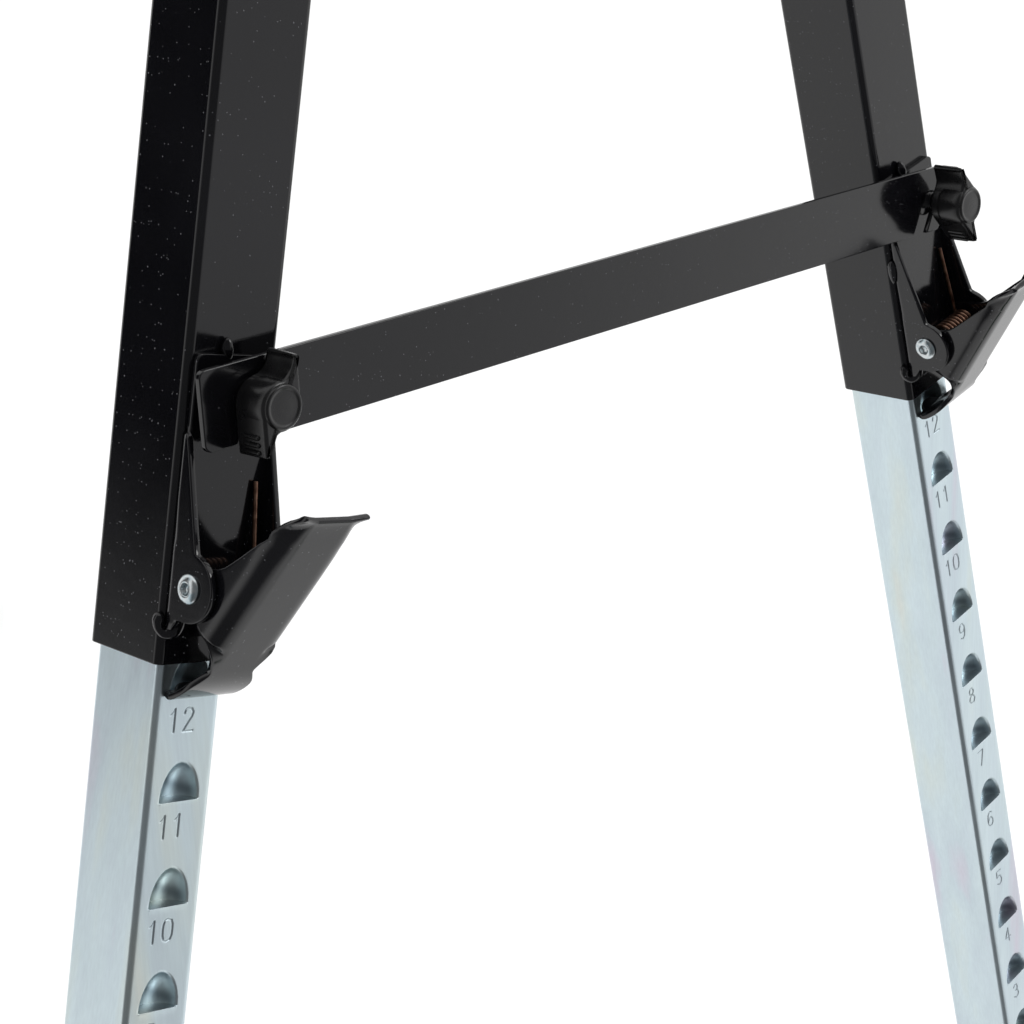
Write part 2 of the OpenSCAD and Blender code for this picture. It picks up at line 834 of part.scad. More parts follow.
head_tube();
head_end_caps();
head_bracket(FRONT);  // front_head_bracket
hinge_bolts(FRONT);  // front_hinge_bolts
cross_bar(FRONT);  // front_cross_bar
head_bracket(REAR);  // rear_head_bracket
hinge_bolts(REAR);  // rear_hinge_bolts
cross_bar(REAR);  // rear_cross_bar
outer_leg(FRONT, LEFT);  // front_left_outer_leg
guide_pad(FRONT, LEFT);  // front_left_guide_pad
latch_bracket(FRONT, LEFT);  // front_left_latch_bracket
latch_pedal(FRONT, LEFT);  // front_left_latch_pedal
pivot_bolt(FRONT, LEFT);  // front_left_pivot_bolt
torsion_spring(FRONT, LEFT);  // front_left_torsion_spring
knob_stud(FRONT, LEFT);  // front_left_knob_stud
wing_knob(FRONT, LEFT);  // front_left_wing_knob
inner_leg(FRONT, LEFT);  // front_left_inner_leg
foot(FRONT, LEFT);  // front_left_foot
outer_leg(FRONT, RIGHT);  // front_right_outer_leg
guide_pad(FRONT, RIGHT);  // front_right_guide_pad
latch_bracket(FRONT, RIGHT);  // front_right_latch_bracket
latch_pedal(FRONT, RIGHT);  // front_right_latch_pedal
pivot_bolt(FRONT, RIGHT);  // front_right_pivot_bolt
torsion_spring(FRONT, RIGHT);  // front_right_torsion_spring
knob_stud(FRONT, RIGHT);  // front_right_knob_stud
wing_knob(FRONT, RIGHT);  // front_right_wing_knob
inner_leg(FRONT, RIGHT);  // front_right_inner_leg
foot(FRONT, RIGHT);  // front_right_foot
outer_leg(REAR, LEFT);  // rear_left_outer_leg
guide_pad(REAR, LEFT);  // rear_left_guide_pad
latch_bracket(REAR, LEFT);  // rear_left_latch_bracket
latch_pedal(REAR, LEFT);  // rear_left_latch_pedal
pivot_bolt(REAR, LEFT);  // rear_left_pivot_bolt
torsion_spring(REAR, LEFT);  // rear_left_torsion_spring
knob_stud(REAR, LEFT);  // rear_left_knob_stud
wing_knob(REAR, LEFT);  // rear_left_wing_knob
inner_leg(REAR, LEFT);  // rear_left_inner_leg
foot(REAR, LEFT);  // rear_left_foot
outer_leg(REAR, RIGHT);  // rear_right_outer_leg
guide_pad(REAR, RIGHT);  // rear_right_guide_pad
latch_bracket(REAR, RIGHT);  // rear_right_latch_bracket
latch_pedal(REAR, RIGHT);  // rear_right_latch_pedal
pivot_bolt(REAR, RIGHT);  // rear_right_pivot_bolt
torsion_spring(REAR, RIGHT);  // rear_right_torsion_spring
knob_stud(REAR, RIGHT);  // rear_right_knob_stud
wing_knob(REAR, RIGHT);  // rear_right_wing_knob
inner_leg(REAR, RIGHT);  // rear_right_inner_leg
foot(REAR, RIGHT);  // rear_right_foot
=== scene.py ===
import json
import math

import bpy
import numpy as np
from mathutils import Matrix, Vector


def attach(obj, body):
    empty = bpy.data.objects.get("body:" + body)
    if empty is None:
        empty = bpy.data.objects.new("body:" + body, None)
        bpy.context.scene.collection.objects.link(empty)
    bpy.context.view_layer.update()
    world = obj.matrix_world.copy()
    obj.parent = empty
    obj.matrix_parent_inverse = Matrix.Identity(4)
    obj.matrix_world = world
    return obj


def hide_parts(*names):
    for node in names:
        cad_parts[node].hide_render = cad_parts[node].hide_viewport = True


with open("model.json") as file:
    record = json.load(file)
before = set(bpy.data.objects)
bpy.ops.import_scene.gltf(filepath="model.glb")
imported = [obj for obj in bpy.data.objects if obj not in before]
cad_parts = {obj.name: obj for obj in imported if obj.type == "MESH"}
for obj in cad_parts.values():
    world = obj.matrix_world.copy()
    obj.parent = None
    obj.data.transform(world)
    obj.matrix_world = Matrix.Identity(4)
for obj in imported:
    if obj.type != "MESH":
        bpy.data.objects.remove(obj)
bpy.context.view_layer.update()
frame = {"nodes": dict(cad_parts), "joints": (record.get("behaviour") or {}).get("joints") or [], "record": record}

ENDS = ("front", "rear")
SIDES = ("left", "right")
MM = 0.001

# Angles in degrees and sizes in millimetres, as in the CAD part; heights count from a leg's hinge
LEAN = 3.9
SPLAY = 13.6
TUBE = 40.0
TUBE_CORNER = 3.0
TUBE_WALL = 1.5
TUBE_TOP = 18.0
TUBE_END = -735.4
FACE = -TUBE / 2
INNER_X = -2.9
INNER_W = 29.0
INNER_D = 36.0
INNER_CORNER = 2.5
INNER_TOP = -550.4
INNER_END = -1226.0
SOLE_Z = -1240.0
FIRST_LIP = -708.4
PITCH = 39.0
STOPS = 13
KNOB_Z = -640.0
KNOB_DEPTH = 16.6
KNOB_SPACING = 96.4 - 2 * KNOB_Z * math.sin(math.radians(SPLAY))
BAR_HALF = 14.5
BAR_SHEET = 2.5
BRACKET_SHEET = 2.5
EAR_X = 19.5
PIVOT_Z = -705.5
PIVOT_OUT = 12.6
PIVOT_Y = FACE - PIVOT_OUT
PEDAL_HALF = 16.4
PEDAL_SHEET = 2.2
PEDAL_SLOPE = 36.5
HEAD = 50.0


# Frames of the legs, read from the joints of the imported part

joints = {j["name"]: j for j in frame["joints"]}


class Leg:
    """One leg's own frame: X across, Y to the back, Z up along the leg, origin at its hinge."""

    def __init__(self, end, side):
        self.name = end + "_" + side
        self.side = -1 if side == "left" else 1
        self.origin = np.array(joints[self.name + "_leg_fold"]["pos_m"])
        x = -np.array(joints[self.name + "_pedal_press"]["axis"])
        y = -np.array(joints[self.name + "_knob_turn"]["axis"])
        z = np.array(joints[self.name + "_height"]["axis"])
        self.axes = np.array([x, y, z])

    def __call__(self, points):
        """Points of this frame, in millimetres, as points of the world in metres."""
        return self.origin + MM * np.asarray(points) @ self.axes


LEGS = [Leg(end, side) for end in ENDS for side in SIDES]


def turned(points, axis, degrees, centre=(0, 0, 0)):
    """Points turned about X, Y or Z through a centre by the right-hand rule."""
    c, s = math.cos(math.radians(degrees)), math.sin(math.radians(degrees))
    p = np.asarray(points, float) - centre
    a, b = [(1, 2), (2, 0), (0, 1)]["XYZ".index(axis)]
    q = p.copy()
    q[..., a] = c * p[..., a] - s * p[..., b]
    q[..., b] = s * p[..., a] + c * p[..., b]
    return q + centre


# Surfaces


def loft(rings, wrap=False):
    """Shell P(i, j) over a stack of closed rings, capped unless the stack returns to its start."""
    stack = np.array(rings, float)
    m, n = stack.shape[:2]
    i, j = np.meshgrid(np.arange(m if wrap else m - 1), np.arange(n), indexing="ij")
    next_i, next_j = (i + 1) % m, (j + 1) % n
    corners = (i * n + j, i * n + next_j, next_i * n + next_j, next_i * n + j)
    quads = np.stack(corners, -1).reshape(-1, 4)
    points = stack.reshape(-1, 3)
    centre = points.mean(0)
    p = points[quads] - centre
    halves = np.cross(p[:, 1], p[:, 2]) + np.cross(p[:, 2], p[:, 3])
    volume = np.einsum("ij,ij->i", p[:, 0], halves).sum()
    caps = [] if wrap else [list(range(n))[::-1], list(range((m - 1) * n, m * n))]
    for cap in caps:
        q = points[cap] - centre
        volume += np.dot(q[0], np.cross(q[1:-1], q[2:]).sum(0))
    faces = quads.tolist() + caps
    if volume < 0:
        faces = [f[::-1] for f in faces]
    return points, faces


def joined(shells):
    """Several shells as one list of points and faces."""
    points, faces, first = [], [], 0
    for p, f in shells:
        points.append(p)
        faces += [[i + first for i in face] for face in f]
        first += len(p)
    return np.concatenate(points), faces

def arc(cx, cy, r, a0, a1, steps):
    """Points c + r (cos t, sin t) as t runs from a0 to a1 degrees."""
    t = np.radians(np.linspace(a0, a1, steps + 1))
    return np.column_stack([cx + r * np.cos(t), cy + r * np.sin(t)])


def rounded_rect(w, d, r, cx=0.0):
    """Rectangle's outline about [cx, 0]: four corner arcs of radius r, joined by straight sides."""
    corners = []
    for k, (sx, sy) in enumerate(((1, 1), (-1, 1), (-1, -1), (1, -1))):
        corners.append(arc(cx + sx * (w / 2 - r), sy * (d / 2 - r), r, 90 * k, 90 * k + 90, 6))
    return np.concatenate(corners)


def at_height(outline, z):
    """Flat outline as a ring at height z."""
    return np.column_stack([outline, np.full(len(outline), float(z))])


def edge_turn(edge, steps=4):
    """Inset and rise along a quarter-round edge: e (1 - cos t), e sin t."""
    t = np.linspace(0, np.pi / 2, steps + 1)
    return list(zip(edge * (1 - np.cos(t)), edge * np.sin(t)))


def tube(w, d, r, wall, z0, z1, edge):
    """Square tube with soft cut ends: its section runs up outside, over the rim and down inside."""
    turn = edge_turn(edge)
    inner_r = max(r - wall, edge + 0.2)

    def outside(i, z):
        return at_height(rounded_rect(w - 2 * i, d - 2 * i, r - i), z)

    def inside(i, z):
        return at_height(rounded_rect(w - 2 * wall + 2 * i, d - 2 * wall + 2 * i, inner_r + i), z)

    rings = [outside(i, z0 + edge - rise) for i, rise in turn[::-1]]
    rings += [outside(i, z1 - edge + rise) for i, rise in turn]
    rings += [inside(i, z1 - edge + rise) for i, rise in turn[::-1]]
    rings += [inside(i, z0 + edge - rise) for i, rise in turn]
    return loft(rings, wrap=True)


def revolved(profile, sides, shape=None):
    """Solid of revolution about Z from [radius, height] pairs.

    Shape(angle, radius) may give each angle its own radius."""
    t = np.linspace(0, 2 * np.pi, sides, endpoint=False)
    rings = []
    for r, z in profile:
        across = shape(t, r) if shape else r
        rings.append(at_height(np.column_stack([across * np.cos(t), across * np.sin(t)]), z))
    return loft(rings)


def inset_outline(outline, inset):
    """Closed outline moved to its left by inset, each corner along the mean of its two sides."""
    p = np.asarray(outline, float)
    d = np.roll(p, -1, 0) - p
    d /= np.linalg.norm(d, axis=1)[:, None]
    n = np.column_stack([-d[:, 1], d[:, 0]])
    m = n + np.roll(n, 1, 0)
    m /= np.maximum((m * m).sum(1), 0.7)[:, None] / 2
    return p + inset * m

def plate(outline, z0, z1, edge):
    """Flat plate from a closed outline run anticlockwise, both its rims quarter-round."""
    turn = edge_turn(edge)
    rings = [at_height(inset_outline(outline, i), z0 + edge - rise) for i, rise in turn[::-1]]
    rings += [at_height(inset_outline(outline, i), z1 - edge + rise) for i, rise in turn]
    return loft(rings)


def sheet_section(flat, bend, angle, reach, half, edge):
    """Closed outline, as [across, back], of sheet bent back at both sides.

    From the middle it is flat to x = flat, turns by angle with its turn eased in and out over the
    room that a radius of bend would take, then runs on straight to the length reach. Half is half
    its thickness, edge the rounding of its rims."""
    room = bend * angle
    knee = min(max(room, 0.3 * reach), 0.9 * reach)
    u = np.concatenate([np.linspace(0, knee, 15), np.linspace(knee, reach - edge, 5)[1:]])
    t = np.clip(u / max(room, 1e-6), 0, 1)
    turn = angle * t * t * (3 - 2 * t)
    step = np.diff(u)
    mean = (turn[1:] + turn[:-1]) / 2
    x = flat + np.concatenate([[0], np.cumsum(step * np.cos(mean))])
    y = np.concatenate([[0], np.cumsum(step * np.sin(mean))])
    if angle > 0.3 and reach > room:
        # The eased turn is stretched to end where the plain radius would
        x += t * (flat + bend * math.sin(angle) - np.interp(room, u, x))
    middle = np.column_stack([x, y])
    normal = np.column_stack([np.sin(turn), -np.cos(turn)])
    along = np.array([np.cos(turn[-1]), np.sin(turn[-1])])
    t = np.radians(np.linspace(90, -90, 9)[1:-1])
    lobe = np.sign(np.sin(t)) * (half - edge) + edge * np.sin(t)
    tip = middle[-1] + edge * np.cos(t)[:, None] * along + lobe[:, None] * normal[-1]
    right = np.concatenate([middle + half * normal, tip, (middle - half * normal)[::-1]])
    return np.concatenate([right, right[::-1] * [-1, 1]])


def swept_wire(path, radius, side, sides=14):
    """Round wire P(i, t) = path(i) + r(i) (n cos t + b sin t), b kept near the vector side."""
    p = np.asarray(path, float)
    d = np.gradient(p, axis=0)
    d /= np.linalg.norm(d, axis=1)[:, None]
    n = np.cross(d, side)
    n /= np.linalg.norm(n, axis=1)[:, None]
    b = np.cross(n, d)
    t = np.linspace(0, 2 * np.pi, sides, endpoint=False)
    rings = []
    for i, r in enumerate(radius):
        rings.append(p[i] + r * (np.outer(np.cos(t), n[i]) + np.outer(np.sin(t), b[i])))
    return loft(rings)


def weld_lump(centre, size, turn):
    """Lump of weld metal: an ellipsoid, a third fuller at one end, turned about the leg's Y."""
    t = np.linspace(0, 2 * np.pi, 24, endpoint=False)
    rings = []
    for k in np.linspace(0.0, np.pi, 15):
        full = max(math.sin(k), 0.02) * (1 + 0.3 * math.cos(k))
        ring = at_height(np.column_stack([full * np.cos(t), full * np.sin(t)]), math.cos(k))
        rings.append(ring * np.array(size) / 2)
    points, faces = loft(rings)
    return turned(points, "Y", turn) + centre, faces


# Pieces of the scene


def add_piece(name, shells, place, body, slot, *nodes, painted_shade=None):
    """One mesh object from closed shells, put in its place in the mesh itself.

    Each point's normal is the mean of its faces' normals, weighted by area. Painted shade is a
    share for each point, of the dark painted into its material."""
    points, faces = joined(shells)
    points = place(points)
    mesh = bpy.data.meshes.new(name)
    mesh.from_pydata(points.tolist(), [], faces)
    mesh.materials.append(LOOKS[slot])
    mesh.shade_smooth()
    obj = bpy.data.objects.new(name, mesh)
    bpy.context.collection.objects.link(obj)
    count = np.array([len(f) for f in faces])
    flat = np.concatenate([np.array(f) for f in faces])
    start = np.concatenate([[0], np.cumsum(count)[:-1]])
    following = np.arange(len(flat)) + 1
    following[start + count - 1] = start
    area = np.add.reduceat(np.cross(points[flat], points[flat[following]]), start)
    normal = np.zeros_like(points)
    np.add.at(normal, flat, np.repeat(area, count, axis=0))
    length = np.linalg.norm(normal, axis=1)
    normal /= np.maximum(length, 1e-20)[:, None]
    mesh.normals_split_custom_set_from_vertices(normal.tolist())
    if painted_shade is not None:
        # Painted shade, kept as an attribute that darkens the material
        attribute = mesh.attributes.new("painted_shade", "FLOAT", "POINT")
        attribute.data.foreach_set("value", painted_shade.astype(np.float32))
    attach(obj, body)
    for node in nodes:
        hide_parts(node)


# Colour and material helpers


def linear(hex_code):
    """Linear colour of an sRGB hex code."""
    v = [int(hex_code[i:i + 2], 16) / 255 for i in (1, 3, 5)]
    return tuple(c / 12.92 if c <= 0.04045 else ((c + 0.055) / 1.055) ** 2.4 for c in v) + (1.0,)


def add_node(tree, kind, inputs=(), output=0, stops=(), **settings):
    """One output of a new shader node.

    Its inputs, in order or by name or number, take values or other nodes' outputs; stops are the
    places and colours of a ramp."""
    node = tree.nodes.new("ShaderNode" + kind)
    for key, value in settings.items():
        setattr(node, key, value)
    if stops:
        elements = node.color_ramp.elements
        for element, (place, code) in zip((elements[0], elements[1]), (stops[0], stops[-1])):
            element.position, element.color = place, linear(code)
        for place, code in stops[1:-1]:
            elements.new(place).color = linear(code)
    for key, value in inputs.items() if isinstance(inputs, dict) else enumerate(inputs):
        if isinstance(value, bpy.types.NodeSocket):
            tree.links.new(value, node.inputs[key])
        else:
            node.inputs[key].default_value = value
    return node.outputs[output] if node.outputs else None


def new_material(name):
    """Empty material, its node tree and the piece's own coordinates."""
    material = bpy.data.materials.new(name)
    material.use_nodes = True
    material.node_tree.nodes.clear()
    return material, material.node_tree, add_node(material.node_tree, "TexCoord", output="Object")


def surfaced(material, inputs):
    """The material with a surface of these inputs."""
    tree = material.node_tree
    add_node(tree, "OutputMaterial", [add_node(tree, "BsdfPrincipled", inputs)])
    return material


def spots(tree, place, per_metre, radius, share):
    """Round spots, 1 inside and 0 outside, in a share of the cells of a Voronoi pattern."""
    distance = add_node(tree, "TexVoronoi", {"Vector": place, "Scale": per_metre}, "Distance")
    near = add_node(tree, "MapRange", [distance, radius * 0.5, radius, 1.0, 0.0],
                    interpolation_type="SMOOTHSTEP")
    lot = add_node(tree, "SeparateColor", [distance.node.outputs["Color"]])
    chosen = add_node(tree, "Math", [lot, share], operation="LESS_THAN")
    return add_node(tree, "Math", [near, chosen], operation="MULTIPLY")


# Materials; a scale is in cells for each metre, and its comment gives the cell's real size


def black_powder_coat():
    """Gloss black powder coat on steel, sprayed and baked: faint ripples, dust and pinholes."""
    material, tree, place = new_material("gloss black powder coat")
    # Haze about 70 mm wide; dust in specks 3 mm apart that drifts over 45 mm, and grit 1.3 mm
    # apart, coarser than real grit so that it shows
    haze = add_node(tree, "TexNoise", {"Vector": place, "Scale": 14, "Detail": 3.0})
    drift = add_node(tree, "TexNoise", {"Vector": place, "Scale": 22})
    drift = add_node(tree, "MapRange", [drift, 0.38, 0.68, 0.02, 0.30])
    dust = spots(tree, place, 330, 0.11, drift)
    grit = spots(tree, place, 760, 0.20, add_node(tree, "Math", [drift, 0.9], operation="MULTIPLY"))
    specks = add_node(tree, "Math", [dust, grit], operation="MAXIMUM")
    black = add_node(tree, "ValToRGB", [haze], stops=((0.35, "#070709"), (0.65, "#0b0b0e")))
    pale = add_node(tree, "Math", [specks, 0.26], operation="MULTIPLY")
    colour = add_node(tree, "Mix", {0: pale, 6: black, 7: linear("#9a9ca3")}, 2, data_type="RGBA")
    gloss = add_node(tree, "MapRange", [haze, 0.3, 0.7, 0.075, 0.15])
    # Orange peel about 4 mm wide on a ripple of 22 mm; the specks stand proud
    peel = add_node(tree, "TexNoise", {"Vector": place, "Scale": 260, "Detail": 1.0})
    ripple = add_node(tree, "TexNoise", {"Vector": place, "Scale": 45, "Detail": 1.0})
    height = add_node(tree, "Math", [peel, 0.25, ripple], operation="MULTIPLY_ADD")
    height = add_node(tree, "Math", [specks, 1.2, height], operation="MULTIPLY_ADD")
    bump = add_node(tree, "Bump", {"Height": height, "Distance": 0.00006, "Strength": 0.8})
    return surfaced(material, {"Base Color": colour, "Roughness": gloss, "IOR": 1.5,
                               "Normal": bump})


def bright_zinc():
    """Bright electroplated zinc on rolled tube: pale blue, faintly lilac, green and straw."""
    material, tree, place = new_material("bright zinc plate")
    # Tints about 26 mm wide and rough patches of 8 mm, both drawn out eight times along the tube
    along = add_node(tree, "Mapping", {"Vector": place, "Scale": (1.0, 1.0, 0.12)})
    film = add_node(tree, "TexNoise", {"Vector": along, "Scale": 38, "Detail": 3.0})
    tint = add_node(tree, "ValToRGB", [film], stops=(
        (0.30, "#d9d6e2"), (0.42, "#d3e1e8"), (0.54, "#d8e7ec"), (0.64, "#dbe7e6"),
        (0.76, "#e2e4db")))
    rough = add_node(tree, "TexNoise", {"Vector": along, "Scale": 120, "Detail": 3.0})
    rough = add_node(tree, "MapRange", [rough, 0.3, 0.7, 0.30, 0.38])
    # Rolling lines 1.1 mm apart, coarser than real ones so that they show
    lines = add_node(tree, "Mapping", {"Vector": place, "Scale": (1.0, 1.0, 0.02)})
    lines = add_node(tree, "TexNoise", {"Vector": lines, "Scale": 900})
    shade = add_node(tree, "MapRange", [lines, 0.3, 0.7, 0.0, 0.10])
    colour = add_node(tree, "Mix", {0: shade, 6: tint, 7: linear("#8c97a0")}, 2, data_type="RGBA")
    # Painted shade: the leg's pockets and grooves turn dark blue by each point's share of it
    painted_shade = add_node(tree, "Attribute", output="Fac", attribute_name="painted_shade")
    colour = add_node(tree, "Mix", {0: painted_shade, 6: colour, 7: linear("#344252")}, 2, data_type="RGBA")
    height = add_node(tree, "Math", [film, 3.0, lines], operation="MULTIPLY_ADD")
    bump = add_node(tree, "Bump", {"Height": height, "Distance": 0.00003, "Strength": 0.5})
    return surfaced(material, {"Base Color": colour, "Metallic": 1.0, "Roughness": rough,
                               "Normal": bump})


def zinc_fastener():
    """Cold headed steel fastener, zinc plated and passivated blue."""
    material, tree, place = new_material("zinc plated fastener")
    # Tints about 4 mm wide over a grain of 0.7 mm
    film = add_node(tree, "TexNoise", {"Vector": place, "Scale": 260})
    colour = add_node(tree, "ValToRGB", [film],
                      stops=((0.35, "#c4d3d8"), (0.5, "#d5d9da"), (0.68, "#aebfc6")))
    grain = add_node(tree, "TexNoise", {"Vector": place, "Scale": 1500})
    bump = add_node(tree, "Bump", {"Height": grain, "Distance": 0.00004, "Strength": 0.6})
    return surfaced(material, {"Base Color": colour, "Metallic": 1.0, "Roughness": 0.24,
                               "Normal": bump})


def copper_wire():
    """Drawn spring wire with a thin copper wash, a little dull from handling."""
    material, tree, place = new_material("copper washed spring wire")
    # Worn patches about 2.5 mm long
    worn = add_node(tree, "TexNoise", {"Vector": place, "Scale": 400})
    colour = add_node(tree, "ValToRGB", [worn], stops=((0.35, "#6f5245"), (0.65, "#987866")))
    bump = add_node(tree, "Bump", {"Height": worn, "Distance": 0.00003, "Strength": 0.6})
    return surfaced(material, {"Base Color": colour, "Metallic": 1.0, "Roughness": 0.33,
                               "Normal": bump})


def moulded_plastic():
    """Black glass filled nylon, moulded in a polished tool, so glossy with a faint grain."""
    material, tree, place = new_material("black moulded nylon")
    # Fibre grain of 0.4 mm under flow marks about 11 mm wide
    grain = add_node(tree, "TexNoise", {"Vector": place, "Scale": 2600})
    flow = add_node(tree, "TexNoise", {"Vector": place, "Scale": 90})
    colour = add_node(tree, "ValToRGB", [flow], stops=((0.35, "#09090a"), (0.65, "#101011")))
    gloss = add_node(tree, "MapRange", [flow, 0.3, 0.7, 0.22, 0.32])
    height = add_node(tree, "Math", [flow, 2.5, grain], operation="MULTIPLY_ADD")
    bump = add_node(tree, "Bump", {"Height": height, "Distance": 0.00004, "Strength": 0.6})
    return surfaced(material, {"Base Color": colour, "Roughness": gloss, "Normal": bump})


def black_rubber():
    """Moulded black rubber, matt, with a dusty bloom."""
    material, tree, place = new_material("black rubber")
    # Bloom about 17 mm wide over a grain of 0.7 mm
    bloom = add_node(tree, "TexNoise", {"Vector": place, "Scale": 60, "Detail": 4.0})
    colour = add_node(tree, "ValToRGB", [bloom], stops=((0.35, "#101011"), (0.7, "#1d1d1e")))
    grain = add_node(tree, "TexNoise", {"Vector": place, "Scale": 1400, "Detail": 3.0})
    bump = add_node(tree, "Bump", {"Height": grain, "Distance": 0.00008, "Strength": 0.8})
    return surfaced(material, {"Base Color": colour, "Roughness": 0.72, "Normal": bump})


def natural_nylon():
    """Natural nylon, machined pad, off-white."""
    material, tree, place = new_material("natural nylon")
    # Clouding about 20 mm wide under tool marks of 1.1 mm
    cloud = add_node(tree, "TexNoise", {"Vector": place, "Scale": 50})
    colour = add_node(tree, "ValToRGB", [cloud], stops=((0.3, "#dcd8c8"), (0.7, "#e8e5da")))
    marks = add_node(tree, "TexNoise", {"Vector": place, "Scale": 900})
    bump = add_node(tree, "Bump", {"Height": marks, "Distance": 0.00004, "Strength": 0.5})
    return surfaced(material, {"Base Color": colour, "Roughness": 0.5, "Normal": bump})


LOOKS = {
    "black_coat": black_powder_coat(),
    "bright_zinc": bright_zinc(),
    "plated_steel": zinc_fastener(),
    "spring_wire": copper_wire(),
    "knob_plastic": moulded_plastic(),
    "rubber": black_rubber(),
    "nylon": natural_nylon(),
}


# Outer leg

def outer_leg():
    """Square tube from above the hinge down to its cut end."""
    return [tube(TUBE, TUBE, TUBE_CORNER, TUBE_WALL, TUBE_END, TUBE_TOP, 0.45)]


# Inner leg: its front is a height field of pressed pockets and numbers

# Strokes of each digit as [across, up] from the middle of its foot
DIGITS = {
    "0": [(2.4, 4.8), (2.3, 7.0), (1.6, 8.8), (0, 9.5), (-1.6, 8.8), (-2.3, 7.0), (-2.4, 4.8),
          (-2.3, 2.5), (-1.6, 0.7), (0, 0), (1.6, 0.7), (2.3, 2.5), (2.4, 4.8)],
    "1": [(-1.7, 7.2), (-0.6, 8.0), (0.2, 9.5), (0.2, 0)],
    "2": [(-2.2, 7.2), (-1.8, 8.7), (-0.4, 9.5), (1.2, 9.1), (2.1, 7.6), (1.6, 5.8), (-0.2, 3.4),
          (-2.4, 0), (2.5, 0)],
    "3": [(-2.0, 8.2), (-0.4, 9.5), (1.3, 9.0), (1.9, 7.2), (1.2, 5.5), (-0.3, 5.0), (1.5, 4.4),
          (2.3, 2.6), (1.5, 0.7), (-0.4, 0), (-2.3, 1.3)],
    "4": [(1.0, 0), (1.0, 9.5), (-2.4, 2.9), (2.5, 2.9)],
    "5": [(2.1, 9.5), (-1.6, 9.5), (-2.0, 5.4), (-0.3, 6.1), (1.5, 5.5), (2.3, 3.3), (1.5, 0.9),
          (-0.4, 0), (-2.3, 1.2)],
    "6": [(1.9, 8.6), (0.3, 9.5), (-1.5, 8.2), (-2.3, 5.2), (-2.2, 2.3), (-1.0, 0.2), (0.9, 0.1),
          (2.3, 1.7), (2.2, 4.1), (0.8, 5.6), (-1.0, 5.2), (-2.2, 3.4)],
    "7": [(-2.3, 9.5), (2.4, 9.5), (-0.6, 0)],
    "8": [(0, 5.1), (-1.5, 6.1), (-1.9, 7.7), (-0.9, 9.3), (0.9, 9.3), (1.9, 7.7), (1.5, 6.1),
          (0, 5.1), (-1.8, 4.0), (-2.4, 2.3), (-1.2, 0.2), (1.2, 0.2), (2.4, 2.3), (1.8, 4.0),
          (0, 5.1)],
    "9": [(-1.9, 0.9), (-0.3, 0), (1.5, 1.3), (2.3, 4.3), (2.2, 7.2), (1.0, 9.3), (-0.9, 9.4),
          (-2.3, 7.8), (-2.2, 5.4), (-0.8, 3.9), (1.0, 4.3), (2.2, 6.1)],
}
DIGIT_STEP = 7.2
DIGIT_SCALE = 0.9
NUMBER_X = -2.4
NUMBER_DROP = 13.4
GROOVE_HALF = 0.56
GROOVE_DEPTH = 0.4
POCKET_R = 8.8
POCKET_HEIGHT = 14.4
POCKET_PROUD = 2.0
POCKET_TOP = 17.5


def number_depth(x, z, text):
    """Depth of a stamped number at [x, z] from its foot's middle: a groove along its strokes."""
    nearest = np.full(np.broadcast(x, z).shape, 9.0)
    for k, digit in enumerate(text):
        across = x - DIGIT_STEP * (k - (len(text) - 1) / 2)
        stroke = DIGITS[digit]
        for (ax, az), (bx, bz) in zip(stroke, stroke[1:]):
            dx, dz = bx - ax, bz - az
            t = np.clip(((across - ax) * dx + (z - az) * dz) / (dx * dx + dz * dz), 0, 1)
            nearest = np.minimum(nearest, np.hypot(across - ax - t * dx, z - az - t * dz))
    s = np.clip(1 - nearest / GROOVE_HALF, 0, 1)
    return GROOVE_DEPTH * s * s * (3 - 2 * s)


def pocket_depth(x, h):
    """Depth of a pressed stop at x and h above its lip: a dome whose middle stands in front.

    The dome's depth d meets the flat face in a soft rim, about (d + sqrt(d d + 0.9)) / 2."""
    r = POCKET_R * np.sqrt(np.clip(1 - (h / POCKET_HEIGHT) ** 2, 0, 1))
    beside = np.clip(np.abs(x) - r, 0, None)
    d = np.sqrt(np.clip(r * r - x * x, 0, None)) - POCKET_PROUD - 1.6 * beside
    soft = 0.5 * (d + np.sqrt(d * d + 0.9)) - 0.5 * 0.9 / (np.abs(d) + 2.2)
    fade = np.clip((POCKET_TOP - h) / 1.5, 0, 1)
    return np.where((h >= 0) & (h <= POCKET_TOP), np.clip(soft, 0, None) * fade, 0.0)


